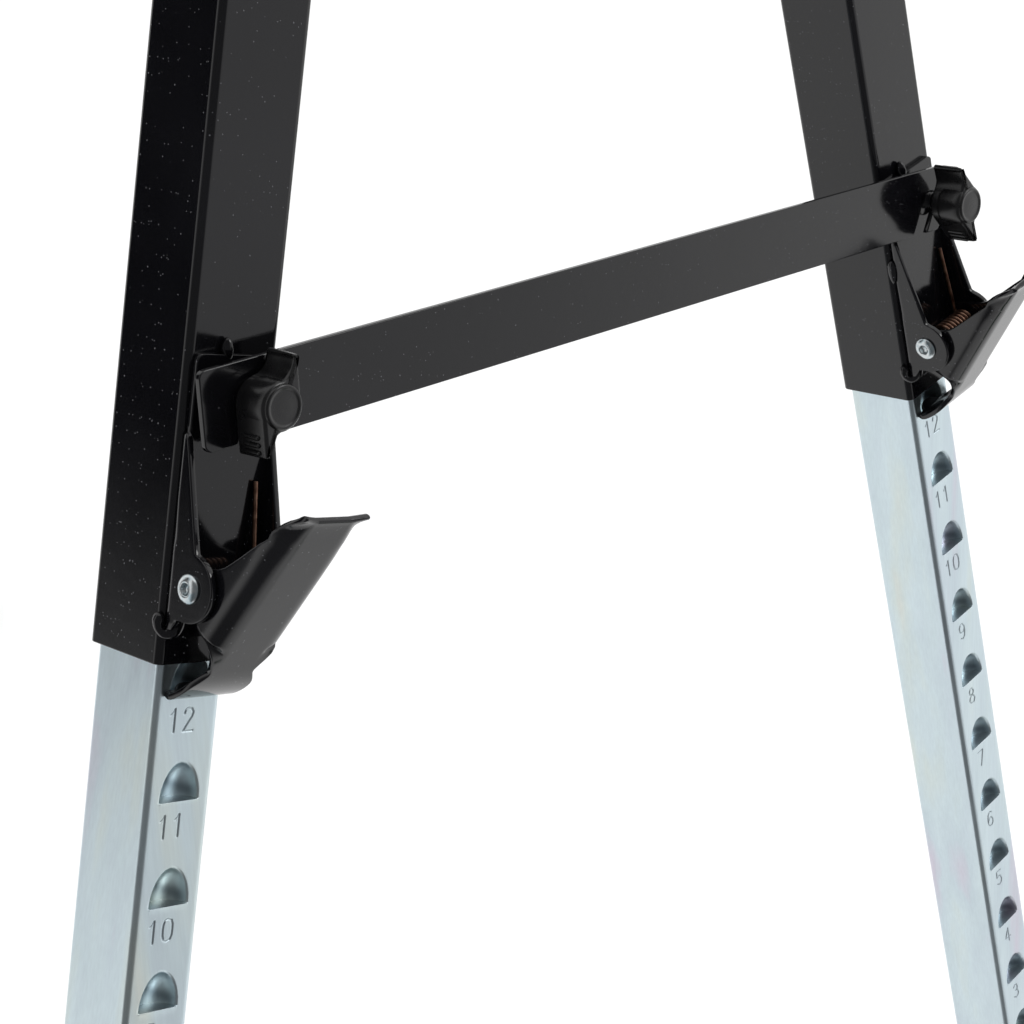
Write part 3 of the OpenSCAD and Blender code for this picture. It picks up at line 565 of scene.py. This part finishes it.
def inner_leg():
    """Closed tube form; its rows crowd at each stop, where the front sinks by pocket and number.

    Returns its shells and each point's share of painted shade, dark in the pockets and grooves."""
    flat, side = INNER_W / 2 - INNER_CORNER, INNER_D / 2 - INNER_CORNER
    x = np.concatenate([
        np.linspace(-flat, -POCKET_R, 5)[:-1], np.linspace(-POCKET_R, 4.0, 45),
        np.linspace(4.0, 9.6, 13)[1:], np.linspace(9.6, flat, 4)[1:]])
    outline = np.concatenate([
        np.column_stack([x, np.full(len(x), -INNER_D / 2)]),
        arc(flat, -side, INNER_CORNER, -90, 0, 6)[1:], arc(flat, side, INNER_CORNER, 0, 90, 6),
        arc(-flat, side, INNER_CORNER, 90, 180, 6),
        arc(-flat, -side, INNER_CORNER, 180, 270, 6)[:-1]])
    about_a_stop = np.concatenate([
        np.linspace(18.0, 0.9, 32), [0.5, 0.2, 0.05, -0.1, -0.4, -1.0],
        np.linspace(-3.2, -14.3, 40)])
    lips = [FIRST_LIP - PITCH * i for i in range(STOPS)]
    rows = np.concatenate([[INNER_TOP, INNER_TOP - 0.8], *[lip + about_a_stop for lip in lips],
                           [INNER_END + 0.8, INNER_END]])
    grid = np.zeros((len(rows), len(outline), 3))
    grid[:, :, :2] = outline
    grid[:, :, 2] = rows[:, None]
    painted_shade = np.zeros((len(rows), len(outline)))
    n = len(x)
    x = x[None, :]
    for number, lip in zip(range(STOPS, 0, -1), lips):
        near = (rows > lip - 14.5) & (rows < lip + 18.5)
        h = rows[near][:, None] - lip
        pocket = pocket_depth(x, h)
        stamp = number_depth((x - NUMBER_X) / DIGIT_SCALE, (h + NUMBER_DROP) / DIGIT_SCALE,
                             str(number))
        # Painted shade, darkest in the stamped grooves and in a slanting band across each pocket
        band = np.exp(-((h - 5.2 + 0.4 * x) / 2.8) ** 2)
        painted_shade[near, :n] = 0.5 * stamp / GROOVE_DEPTH + 0.6 * np.clip(pocket / 3, 0, 1) * band
        # The press rolls the sheet out a little just under the lip
        roll = 0.35 * np.exp(-((h + 0.1) / 0.5) ** 2) * (np.abs(x) < 8.4) * (h <= 0)
        grid[near, :n, 1] += pocket + stamp - roll
    for end in (0, -1):
        grid[end, :, 0] *= 1 - 2 * 0.6 / INNER_W
        grid[end, :, 1] *= 1 - 2 * 0.6 / INNER_D
    grid[:, :, 0] += INNER_X
    return [loft(grid)], painted_shade.ravel()


# Latch bracket: a channel whose ears come forward and end in the pivot eyes

def latch_bracket(side):
    """Sheet sections up the leg, [height, how far the ears stand out, share of their quarter turn,
    how much thinner], closed above by round corners, and the welds."""
    half, bend, flat, rim = BRACKET_SHEET / 2, 1.75, 16.5, 1.1
    eye = arc(PIVOT_OUT, 0.0, 12.0, -95, 74, 33)
    ears = [(4.4, -15.9), (6.4, -13.4), (7.4, -12.15), (9.5, -11.98), *eye.tolist(), (14.2, 12.4),
            (13.2, 16.0), (9.6, 30.0), (6.2, 43.0), (4.4, 50.0), (3.6, 51.6)]
    levels = [(-20.0, 2.5, 0, 0.7), (-19.8, 2.5, 0, 0.2), (-19.0, 2.5, 0, 0), (-18.2, 3.0, 0.5, 0)]
    levels += [(z, out, 1, 0) for out, z in ears]
    levels += [(52.4, 2.5, 0.85, 0), (53.2, 2.5, 0.55, 0), (54.0, 2.5, 0.25, 0), (54.8, 2.5, 0, 0),
               (66.0, 2.5, 0, 0), (77.0, 2.5, 0, 0)]
    rings = []

    def ring(section, z):
        at = np.full(len(section), PIVOT_Z + z)
        rings.append(np.column_stack([section[:, 0], FACE - half - section[:, 1], at]))

    for z, out, share, thinner in levels:
        angle = share * math.pi / 2
        if out > 3.4:
            reach = bend * angle + max(out - half - bend, 0.0)
        else:
            reach = rim + (bend * angle - rim) * (out - 2.5) / 0.9
        h = half - thinner
        reach = max(reach, 0.9) - thinner
        ring(sheet_section(flat, bend, angle, reach, h, min(0.75, h - 0.05)), z)
    corner = 2.4
    for degrees in np.linspace(10, 90, 7):
        t = math.radians(degrees)
        thinner = 0.55 if t > 1.5 else 0.0
        ring(sheet_section(flat - corner * (1 - math.cos(t)), bend, 0.0, rim, half - thinner, 0.6),
             77.1 + corner * math.sin(t))

    # Lower left weld: a bead that hooks round the bracket's corner
    hook = np.array([(-19.7, -19.3, -11.0), (-20.8, -19.0, -13.5), (-20.8, -19.4, -16.3),
                     (-18.9, -20.6, -18.4), (-16.4, -21.8, -17.8), (-14.6, -22.8, -15.2),
                     (-13.4, -23.4, -12.8)])
    knots, fine = np.linspace(0, 1, len(hook)), np.linspace(0, 1, 40)
    bead = np.column_stack([np.interp(fine, knots, hook[:, k]) for k in range(3)])
    for _ in range(6):
        bead[1:-1] = (bead[:-2] + 2 * bead[1:-1] + bead[2:]) / 4
    thick = 2.15 * np.sqrt(np.clip(1 - (2 * fine - 1) ** 6, 0.02, 1))
    thick *= 1 + 0.2 * np.sin(10 * fine + 1)
    shells = [loft(rings), swept_wire(bead + [0, 0, PIVOT_Z], thick, (0.31, 0.2, 0.93), 16)]
    lumps = [((-4.6, -21.6, 81.3), (8.0, 4.2, 4.4), 78),
             ((18.6, -20.6, -17.5), (4.2, 4.6, 9.0), 12)]
    if side > 0:
        lumps.append(((-19.6, -20.2, 37.0), (3.4, 4.2, 11.0), 4))
    return shells + [weld_lump((x, y, PIVOT_Z + z), size, turn) for (x, y, z), size, turn in lumps]


# Latch pedal

def pedal_point(across, along, out):
    """Leg place of a point on the pedal, given across, along its plate and out from its pivot."""
    slope = math.radians(PEDAL_SLOPE)
    forward = out * math.cos(slope) + along * math.sin(slope)
    up = along * math.cos(slope) - out * math.sin(slope)
    return np.column_stack([across, PIVOT_Y - forward, PIVOT_Z + up])


def pedal_face(s):
    """How far the plate's face stands out from the pivot at s along it, with the toe's flare."""
    return 20.6 - 0.022 * (s + 10) + 0.010 * max(s - 45, 0) ** 2


def latch_pedal():
    """Pressed sheet: a plate whose sides roll back into cheeks, a scooped toe and a wide tongue.

    Each ring is the sheet's section at one place of a path that runs down the plate and back to
    the leg; [along, half width, turn of the sides in degrees, depth of the cheeks]."""
    half, bend = PEDAL_SHEET / 2, 8.2
    flat = PEDAL_HALF - bend - half
    stations = [(-21.5, 10.1, 0, 0), (-19.5, 10.8, 0, 0), (-16.0, 12.3, 0, 0), (-13.4, 13.8, 4, 0),
        (-11.6, 14.9, 14, 0), (-10.4, 15.6, 32, 0), (-9.6, 16.0, 54, 12), (-9.0, 16.3, 76, 18),
        (-8.6, 16.4, 90, 21), (-8.0, 16.4, 90, 23.4), (-7.0, 16.4, 90, 25.8),
        (-5.0, 16.4, 90, 27.9), (-2.5, 16.4, 90, 29.0), (0.0, 16.4, 90, 29.2),
        (2.5, 16.4, 90, 28.6), (4.5, 16.4, 90, 27.2), (7.0, 16.4, 90, 24.2),
        (10.0, 16.4, 90, 20.6), (13.0, 16.4, 90, 17.9), (16.0, 16.4, 90, 16.0),
        (20.0, 16.4, 90, 14.4), (25.0, 16.4, 90, 12.6), (30.0, 16.4, 88, 11.2),
        (35.0, 16.4, 84, 10.0), (39.0, 16.4, 78, 9.0), (42.5, 16.3, 68, 8.0),
        (45.5, 16.1, 56, 7.0), (48.0, 15.8, 42, 0), (50.5, 15.4, 28, 0), (52.5, 15.0, 16, 0),
        (54.2, 14.8, 8, 0), (55.4, 14.6, 4, 0), (56.3, 14.3, 2, 0), (56.8, 13.9, 0, 0),
        (57.0, 13.3, 0, 0)]
    rings = pedal_tongue(half)
    for along, w, degrees, deep in stations:
        a = math.radians(degrees)
        # The toe's last 3 mm swell and then round off
        end = max((along - 54.0) / 3.0, 0.0)
        h = half * (1 + 0.45 * end) * math.sqrt(max(1 - end ** 4, 0.12))
        straight = 0.0
        if a < 1.2:
            straight = max(w - flat - (bend + half) * math.sin(a), 0.5) / max(math.cos(a), 0.35)
        reach = bend * a + max(straight, deep - bend - half, 0.0)
        reach = max(reach, 0.62)
        section = sheet_section(min(flat, w - 0.7), bend, a, reach, h, min(0.7, h - 0.05))
        x = section[:, 0]
        scoop = max((along - 44) / 13, 0) ** 2 * np.clip(1 - (x / 13.5) ** 2, 0, 1)
        out = pedal_face(along) - half - section[:, 1] - 1.6 * scoop
        rings.append(pedal_point(x, along - 3.0 * scoop, out))
    return [loft(rings)]


def pedal_tongue(half):
    """Rings of the tongue, tip to neck; the tip's underside lies on a circle about the pivot."""
    swing, tip_r, tip_from = 44.2, 7.5, -14.3
    into = np.linspace(-18.5, -13.6, 10)
    tip = np.column_stack([into, -np.sqrt((swing - half) ** 2 - into ** 2)])
    strap = [(-12.4, -41.3), (-11.2, -41.0), (-9.5, -40.2), (-7.6, -39.1), (-5.8, -37.9),
             (-4.2, -36.7), (-2.7, -35.5), (-1.3, -34.2), (0.0, -32.9), (1.2, -31.5), (2.2, -30.2)]
    path = np.concatenate([tip, strap])
    d = np.gradient(path, axis=0)
    d /= np.linalg.norm(d, axis=1)[:, None]
    normal = np.column_stack([d[:, 1], -d[:, 0]])
    width = np.interp(path[:, 0], [tip_from, -14.0, -12.0, -5.0, -2.0, -0.6, 0.9, 2.2],
                      [14.0, 14.2, 14.4, 14.4, 13.9, 13.0, 11.6, 10.3])
    rings = []
    for k, p in enumerate(path):
        wide, middle = width[k], 0.0
        if p[0] < tip_from:
            # In the stop the tip is round and stands on the inner leg's middle
            wide, middle = math.sqrt(max(tip_r ** 2 - (-p[0] - 11.1) ** 2, 0.3)), INNER_X
        h = half - (0.6 if k == 0 else 0.0)
        section = sheet_section(0.4 * wide, 2.0, 0.0, 0.6 * wide, h, min(0.6, h - 0.05))
        place = p[None, :] - section[:, 1:2] * normal[k]
        ring = [section[:, 0] + middle, PIVOT_Y - place[:, 0], PIVOT_Z + place[:, 1]]
        rings.append(np.column_stack(ring))
    return rings


# Pivot bolt with a button head and a hexagon socket, and its nut

def hexagon(t, flats):
    """Distance of a hexagon's side from its middle at angle t."""
    k = (t + math.pi / 6) % (math.pi / 3) - math.pi / 6
    return flats / 2 / np.cos(k)


def on_pivot(shell, x, way):
    """Shell built along +Z, laid along the pivot from x to the left (-1) or the right (1)."""
    p = shell[0]
    laid = np.column_stack([way * p[:, 2], p[:, 1], -way * p[:, 0]])
    return laid + [x, PIVOT_Y, PIVOT_Z], shell[1]


def pivot_bolt():
    """Button head, pin and nut; where the head's profile has no radius it is the socket."""
    socket = None

    def head_shape(t, r):
        return hexagon(t, 4.0) if r is socket else np.full(len(t), float(r))

    def nut_shape(t, r):
        return np.minimum(hexagon(t, 10.0), r)

    head = [(3.0, -1.0), (5.0, -1.0), (5.25, 0.0), (5.3, 0.35), (5.2, 0.8), (4.8, 1.35), (4.1, 1.8),
            (3.2, 2.05), (2.75, 2.1), (2.5, 2.0), (socket, 1.85), (socket, 0.5), (0.6, 0.35)]
    pin = [(2.6, 0), (3.0, 0.4), (3.0, 46.0), (2.5, 46.6)]
    nut = [(3.2, 0.0), (5.0, 0.0), (5.35, 0.35), (5.8, 0.8), (5.8, 4.7), (5.35, 5.2), (4.6, 5.7),
           (3.6, 6.0), (3.2, 5.9)]
    return [on_pivot(revolved(head, 60, head_shape), -EAR_X, -1),
            on_pivot(revolved(pin, 32), -EAR_X, 1),
            on_pivot(revolved(nut, 60, nut_shape), EAR_X, 1)]


# Torsion spring: the coil and its end on the bracket stay with the leg, its other end turns with
# the pedal

def torsion_spring():
    """[coil with its end on the bracket, end under the pedal's plate], one wire in two pieces."""
    coil_r, turns, pitch, wire, play = 4.7, 8, 2.35, 1.8, 0.3
    leg_end, lean = 36.0, 20
    behind = PIVOT_OUT - BRACKET_SHEET - wire / 2 - play - coil_r
    start = 180 + math.degrees(math.asin(behind / leg_end))
    finish = 360 * (turns + 1) - PEDAL_SLOPE - lean
    coil_x = PEDAL_HALF - PEDAL_SHEET - wire / 2 - 2 * play

    def radial(a):
        return np.stack([0 * a, -np.cos(a), np.sin(a)], -1)

    def tangent(a):
        return np.stack([0 * a, np.sin(a), np.cos(a)], -1)

    a = np.radians(np.linspace(start, finish, 300))
    coil = coil_r * radial(a)
    coil[:, 0] = coil_x - pitch * (np.degrees(a) - start) / 360
    first = [coil[0] - k * tangent(a[0]) for k in (leg_end, leg_end - 0.2, 30, 20, 10, 3)]
    under = 20.5 - PEDAL_SHEET - wire / 2 - play - coil_r * math.cos(math.radians(lean))
    reach = under / math.sin(math.radians(lean))
    places = (3, 0.4 * reach, 0.8 * reach, reach - 0.2, reach)
    last = [coil[-1] + k * tangent(a[-1]) for k in places]
    pieces = []
    # The end's first turn lies in the coil's last, a little thinner
    for path, radius in ((np.concatenate([first, coil]), wire / 2),
                         (np.concatenate([coil[-9:], last]), wire / 2 - 0.01)):
        thick = np.full(len(path), radius)
        thick[[0, -1]] *= 0.7
        pieces.append([swept_wire(path + [0, PIVOT_Y, PIVOT_Z], thick, (1.0, 0.02, 0.0))])
    return pieces


# Knob stud and wing knob

def facing_front(shell, x, y, z, turn=0.0):
    """Shell built along +Z, turned about its axis and laid so that +Z points to the leg's front."""
    p = turned(shell[0], "Z", turn)
    q = np.column_stack([p[:, 0], -p[:, 2], p[:, 1]]) + [x, y, z]
    return q, shell[1]


def knob_stud():
    """Threaded stud, its ridges drawn as rings, and the collar that the cross bar rests on."""
    pitch = 1.25
    thread = [(3.2, 0.0)]
    z = 0.3
    while z < 23.5:
        thread += [(4.0, z), (4.0, z + 0.25), (3.45, z + 0.62), (3.45, z + 0.8)]
        z += pitch
    thread += [(3.4, z), (2.9, z + 0.5)]
    collar = [(5.5, 0), (6.6, 0), (7.0, 0.4), (7.0, 6.6), (6.6, 7.0), (5.5, 7.0)]
    return [facing_front(revolved(thread, 28), 0, FACE, KNOB_Z),
            facing_front(revolved(collar, 40), 0, FACE - BRACKET_SHEET, KNOB_Z)]


def knob_outline():
    """Two wings on a hub, alike under a half turn, each with a concave scoop on one side."""
    half = np.concatenate([
        np.linspace((8.9, 0.0), (8.9, 16.0), 5)[:-1], arc(8.0, 16.1, 0.9, 0, 90, 6),
        arc(7.4, 16.1, 0.9, 95, 170, 5), arc(-1.0, 17.0, 8.0, -12, -88, 14),
        arc(0.0, 0.0, 8.8, 98, 172, 12)])
    return np.concatenate([half, -half])


def grip_rib(x, y, z0, z1, radius):
    """Half-sunk capsule along the knob's depth."""
    a = np.linspace(0, np.pi / 2, 6)
    low = [(radius * math.sin(k) + 0.02, z0 + radius * (1 - math.cos(k))) for k in a]
    high = [(radius * math.cos(k) + 0.02, z1 - radius * (1 - math.sin(k))) for k in a]
    points, faces = revolved(low + high, 16)
    return points + [x, y, 0], faces


def wing_knob(side):
    """Wings that draft inwards from a soft foot to a round front, a hub, a cap and three ribs each.

    The right knob stands further out and is turned, as it was left in the photo."""
    outline = knob_outline()
    foot_z, edge, draft = 2.4, 1.6, 0.3
    rings = []
    for i, rise in edge_turn(0.8)[::-1]:
        rings.append(at_height(inset_outline(outline, i), foot_z - rise))
    for share in (0.25, 0.5, 0.75):
        ring = inset_outline(outline, draft * share)
        rings.append(at_height(ring, foot_z + (KNOB_DEPTH - foot_z) * share))
    for i, rise in edge_turn(edge, 6):
        rings.append(at_height(inset_outline(outline, draft + 0.9 * i), KNOB_DEPTH - edge + rise))
    cap = [(7.0, -2), (8.0, -1.6), (8.1, -0.4), (8.0, 0.45), (7.6, 0.85), (7.1, 0.98), (6.6, 0.85),
           (6.2, 0.55), (5.6, 0.5), (3.5, 0.62), (1.2, 0.7)]
    hub = [(6.6, 0.5), (7.4, 0.7), (7.6, 1.2), (7.7, 3.4), (8.8, 5.2), (9.3, 6.6), (9.25, 13.0),
           (9.0, KNOB_DEPTH - 1.2), (8.5, KNOB_DEPTH - 0.3), (7.5, KNOB_DEPTH)]
    parts = [loft(rings), revolved(hub, 56), revolved([(r, KNOB_DEPTH + z) for r, z in cap], 56)]
    for k in range(3):
        points, faces = grip_rib(8.75, 15.0 - 2.7 * k, 4.6, 13.4, 0.9)
        parts += [(points, faces), (points * [-1, -1, 1], faces)]
    out, turn = (12.1, 0.0) if side < 0 else (16.6, 45.0)
    shells = []
    for part in parts:
        p, f = facing_front(part, 0, FACE - out, KNOB_Z, turn)
        shells.append((turned(p, "Y", side * SPLAY, (0, 0, KNOB_Z)), f))
    return shells


# Cross bar, its far end open below as a hook

def cross_bar():
    """Flat bar with round corners; a slanted slot opens in its lower edge round the right stud."""
    low, high, left, right, r = -BAR_HALF, BAR_HALF, -21.5, KNOB_SPACING + 7.5, 3.0
    slant, slot, mouth = math.radians(-27), 4.6, 4.45

    def on_low(x):
        """Where the slot's side, x across from its middle, meets the lower edge."""
        down = (x * math.sin(slant) - low) / math.cos(slant)
        return KNOB_SPACING + x * math.cos(slant) + down * math.sin(slant), low

    outline = np.concatenate([
        arc(left + r, low + r, r, 180, 270, 6), [(left + 60, low), (left + 200, low)],
        [on_low(-mouth)], arc(KNOB_SPACING, 0.0, slot, 167, -41, 22), [on_low(mouth)],
        arc(right - r, low + r, r, 270, 360, 6), arc(right - r, high - r, r, 0, 90, 6),
        [(left + 200, high), (left + 60, high)], arc(left + r, high - r, r, 90, 180, 6)])
    p, f = facing_front(plate(outline, 0.0, BAR_SHEET, 0.5), 0, FACE - 9.55, KNOB_Z)
    return [(turned(p, "Y", -SPLAY, (0, 0, KNOB_Z)), f)]


# Rubber foot: a ribbed shoe whose sole is cut level on the floor

def foot(leg):
    """Rings [inset, height]; the lowest three lie level in the world, the rest across the leg."""
    wide, deep, corner = INNER_W + 6.1, INNER_D + 6.1, 5.5
    levels = [(1.6, 0.0), (0.6, 0.25), (0.0, 1.0)]
    for k in range(5):
        z = 10.0 + 5.6 * k
        levels += [(0.0, z - 1.0), (0.0, z), (0.7, z + 0.5), (0.7, z + 1.3), (0.0, z + 1.8)]
    levels += [(0.0, 39.4), (0.3, 40.8), (1.1, 41.8), (2.0, 42.0)]
    rings = []
    for i, z in levels:
        ring = at_height(rounded_rect(wide - 2 * i, deep - 2 * i, corner - 0.8 * i, INNER_X), 0)
        if z < 3:
            ring[:, 2] = (z * MM - leg(ring)[:, 2]) / leg.axes[2][2] / MM
        else:
            ring[:, 2] = SOLE_Z + z
        rings.append(ring)
    return [loft(rings)]


# Head tube and its end caps, in the world's own millimetres

HINGE = LEGS[0].origin / MM
HEAD_Z = HINGE[2] + 36.0
HEAD_END = 80.0 - HINGE[1]


def along_head(shell, y):
    """Shell built along +Z, laid along the head tube from y."""
    p = shell[0]
    laid = np.column_stack([p[:, 0], p[:, 2] + y, p[:, 1] + HEAD_Z + HEAD / 2])
    return laid, [f[::-1] for f in shell[1]]


def head_tube():
    """Square tube along the whole head."""
    return [along_head(tube(HEAD, HEAD, 5.0, 2.0, -HEAD_END, HEAD_END, 0.5), 0.0)]


def head_end_caps():
    """Plug in the tube's bore with a soft cap over its rim, sunk a little in the middle."""
    levels = [(44, 3, -18), (45.9, 4, -17), (45.9, 4, 0.0), (49.6, 5, 0.0)]
    levels += [(HEAD - 2 * i, 5 - 0.8 * i, 2.0 + rise) for i, rise in edge_turn(1.0, 5)]
    levels += [(40, 3.4, 3.0), (39, 3.4, 2.5)]
    cap = loft([at_height(rounded_rect(wide, wide, corner), z) for wide, corner, z in levels])
    far = along_head(cap, HEAD_END)
    return [far, (far[0] * [-1, -1, 1], far[1])]


def as_metres(points):
    """Points of the world in metres."""
    return MM * np.asarray(points)


# Build: title, body and slot of each piece; all but the spring's end replace the node of their name

add_piece("head_tube_form", head_tube(), as_metres, "head", "black_coat", "head_tube")
add_piece("head_end_caps_form", head_end_caps(), as_metres, "head", "rubber", "head_end_caps")

spring_coil, spring_end = torsion_spring()
# The inner leg's shells and each point's share of painted shade
slide_shells, slide_painted_shade = inner_leg()
same_on_each_leg = [
    ("outer_leg", "leg", "black_coat", outer_leg()),
    ("pivot_bolt", "leg", "plated_steel", pivot_bolt()),
    ("torsion_spring", "leg", "spring_wire", spring_coil),
    ("knob_stud", "leg", "black_coat", knob_stud()),
    ("latch_pedal", "pedal", "black_coat", latch_pedal()),
]
for leg in LEGS:
    own = [
        ("latch_bracket", "leg", "black_coat", latch_bracket(leg.side)),
        ("inner_leg", "slide", "bright_zinc", slide_shells),
        ("spring_end", "pedal", "spring_wire", spring_end),
        ("wing_knob", "knob", "knob_plastic", wing_knob(leg.side)),
        ("foot", "slide", "rubber", foot(leg)),
    ]
    for title, body, slot, shells in same_on_each_leg + own:
        name = leg.name + "_" + title
        nodes = [] if title == "spring_end" else [name]
        add_piece(name + "_form", shells, leg, leg.name + "_" + body, slot, *nodes,
                  painted_shade=slide_painted_shade if title == "inner_leg" else None)
for end, leg in zip(ENDS, LEGS[::2]):
    name = end + "_cross_bar"
    add_piece(name + "_form", cross_bar(), leg, end + "_bar", "black_coat", name)

# The nodes that keep their CAD shape get soft edges and their material
for entry in frame["record"]["subparts"]:
    name = entry["node"]
    if name.endswith(("head_bracket", "hinge_bolts", "guide_pad")):
        node = frame["nodes"][name]
        node.data.materials.clear()
        node.data.materials.append(LOOKS[entry["material_slot"]])
        soft = node.modifiers.new("soft edges", "BEVEL")
        soft.width = 0.4 * MM
        soft.segments = 2
        soft.limit_method = "ANGLE"
        soft.angle_limit = math.radians(35)
        soft.harden_normals = True


# Floor, light and camera

def white_floor():
    """Matt white studio floor, a little self-lit so that it reads as plain white."""
    size = 30.0
    mesh = bpy.data.meshes.new("floor")
    corners = [(-size, -size, 0), (size, -size, 0), (size, size, 0), (-size, size, 0)]
    mesh.from_pydata(corners, [], [(0, 1, 2, 3)])
    floor = bpy.data.objects.new("floor", mesh)
    bpy.context.collection.objects.link(floor)
    material = new_material("white studio floor")[0]
    mesh.materials.append(surfaced(material, {
        "Base Color": linear("#f2f2f2"), "Roughness": 0.9, "Emission Color": (1, 1, 1, 1),
        "Emission Strength": 0.16}))
    floor.visible_glossy = False


# Soft patches of the room that only reflections show: level direction, degrees from it where the
# patch is full and where it ends, heights as sines between which it fades in and out, colour and
# strength
PATCHES = [
    # Dark, behind and to the left
    ((-0.632, 0.775, 0.0), 7, 16, (-0.26, -0.03), (0.5, 0.9), "#1c1d22", 1.0),
    # The dim side of the room, behind the camera
    ((-0.720, -0.694, 0.0), 46, 72, (-0.97, -0.85), (0.85, 0.97), "#26282c", 0.88),
    # Pale grey, in front and to the right
    ((0.530, -0.848, 0.0), 3, 20, (-0.50, -0.41), (0.8, 0.9), "#a8a8ae", 0.45),
    # Dark and low, in the same direction
    ((0.500, -0.866, 0.0), 6.6, 9, (-0.49, -0.45), (-0.39, -0.355), "#232328", 0.9),
    # Green and low, further to the right
    ((0.809, -0.588, 0.0), 6, 11, (-0.93, -0.86), (-0.64, -0.53), "#4a6450", 0.9),
]


def zone(tree, direction, level, way, inner, outer, rise, fall):
    """Share, 0 to 1, of a soft patch of the room in a direction; level is its flat part."""
    near = add_node(tree, "VectorMath", [level, way], "Value", operation="DOT_PRODUCT")
    ends = [math.cos(math.radians(a)) for a in (outer, inner)]
    share = add_node(tree, "MapRange", [near, *ends, 0.0, 1.0], interpolation_type="SMOOTHSTEP")
    height = add_node(tree, "SeparateXYZ", [direction], "Z")
    for limits in ((*rise, 0.0, 1.0), (*fall, 1.0, 0.0)):
        part = add_node(tree, "MapRange", [height, *limits], interpolation_type="SMOOTHSTEP")
        share = add_node(tree, "Math", [share, part], operation="MULTIPLY")
    return share


def studio_light():
    """White surroundings; the soft darker patches in them are seen only in reflections."""
    world = bpy.data.worlds.new("studio")
    bpy.context.scene.world = world
    world.use_nodes = True
    tree = world.node_tree
    tree.nodes.clear()
    direction = add_node(tree, "TexCoord", output="Generated")
    level = add_node(tree, "VectorMath", [direction, (1.0, 1.0, 0.0)], operation="MULTIPLY")
    level = add_node(tree, "VectorMath", [level], operation="NORMALIZE")
    white = (1, 1, 1, 1)
    room = white
    for way, inner, outer, rise, fall, code, strength in PATCHES:
        share = zone(tree, direction, level, way, inner, outer, rise, fall)
        share = add_node(tree, "Math", [share, strength], operation="MULTIPLY")
        room = add_node(tree, "Mix", {0: share, 6: room, 7: linear(code)}, 2, data_type="RGBA")
    glossy = add_node(tree, "LightPath", output="Is Glossy Ray")
    colour = add_node(tree, "Mix", {0: glossy, 6: white, 7: room}, 2, data_type="RGBA")
    back = add_node(tree, "Background", {"Color": colour, "Strength": 1.0})
    add_node(tree, "OutputWorld", [back])


def lamp(name, place, aim, power, size):
    """Square lamp at a place, turned to an aim."""
    data = bpy.data.lights.new(name, "AREA")
    data.energy = power
    data.size = size
    obj = bpy.data.objects.new(name, data)
    bpy.context.collection.objects.link(obj)
    turn = (Vector(place) - Vector(aim)).to_track_quat("Z", "Y").to_matrix().to_4x4()
    obj.matrix_world = Matrix.Translation(place) @ turn


def camera():
    """The photo's camera: its turn and its place, in tube widths, found from the tubes' edges."""
    turn = np.array([1.7602, -0.7736, 0.4922])
    where = TUBE * np.array([-17.3486, -16.4937, 5.4811])
    focal_length_in_pixels, photo_width_in_pixels, sensor = 2403.3266, 1024, 36
    angle = np.linalg.norm(turn)
    right, down, forward = np.array(Matrix.Rotation(angle, 3, turn / angle))
    lean = np.array(Matrix.Rotation(-math.radians(LEAN), 3, "X"))
    between_knobs = lean @ [0, 0, KNOB_Z * math.cos(math.radians(SPLAY))]
    world = np.eye(4)
    world[:3, :3] = lean @ np.column_stack([right, -down, -forward])
    world[:3, 3] = MM * (np.array([0, HINGE[1], HINGE[2]]) + between_knobs + lean @ where)
    data = bpy.data.cameras.new("camera")
    data.sensor_width = sensor
    data.lens = sensor * focal_length_in_pixels / photo_width_in_pixels
    data.clip_start, data.clip_end = 0.05, 100
    obj = bpy.data.objects.new("camera", data)
    bpy.context.collection.objects.link(obj)
    obj.matrix_world = Matrix(world.tolist())
    bpy.context.scene.camera = obj


white_floor()
studio_light()
lamp("key", (1.6, -2.6, 2.6), (0, -0.4, 0.6), 22, 1.2)
camera()
bpy.context.scene.view_settings.view_transform = "Standard"
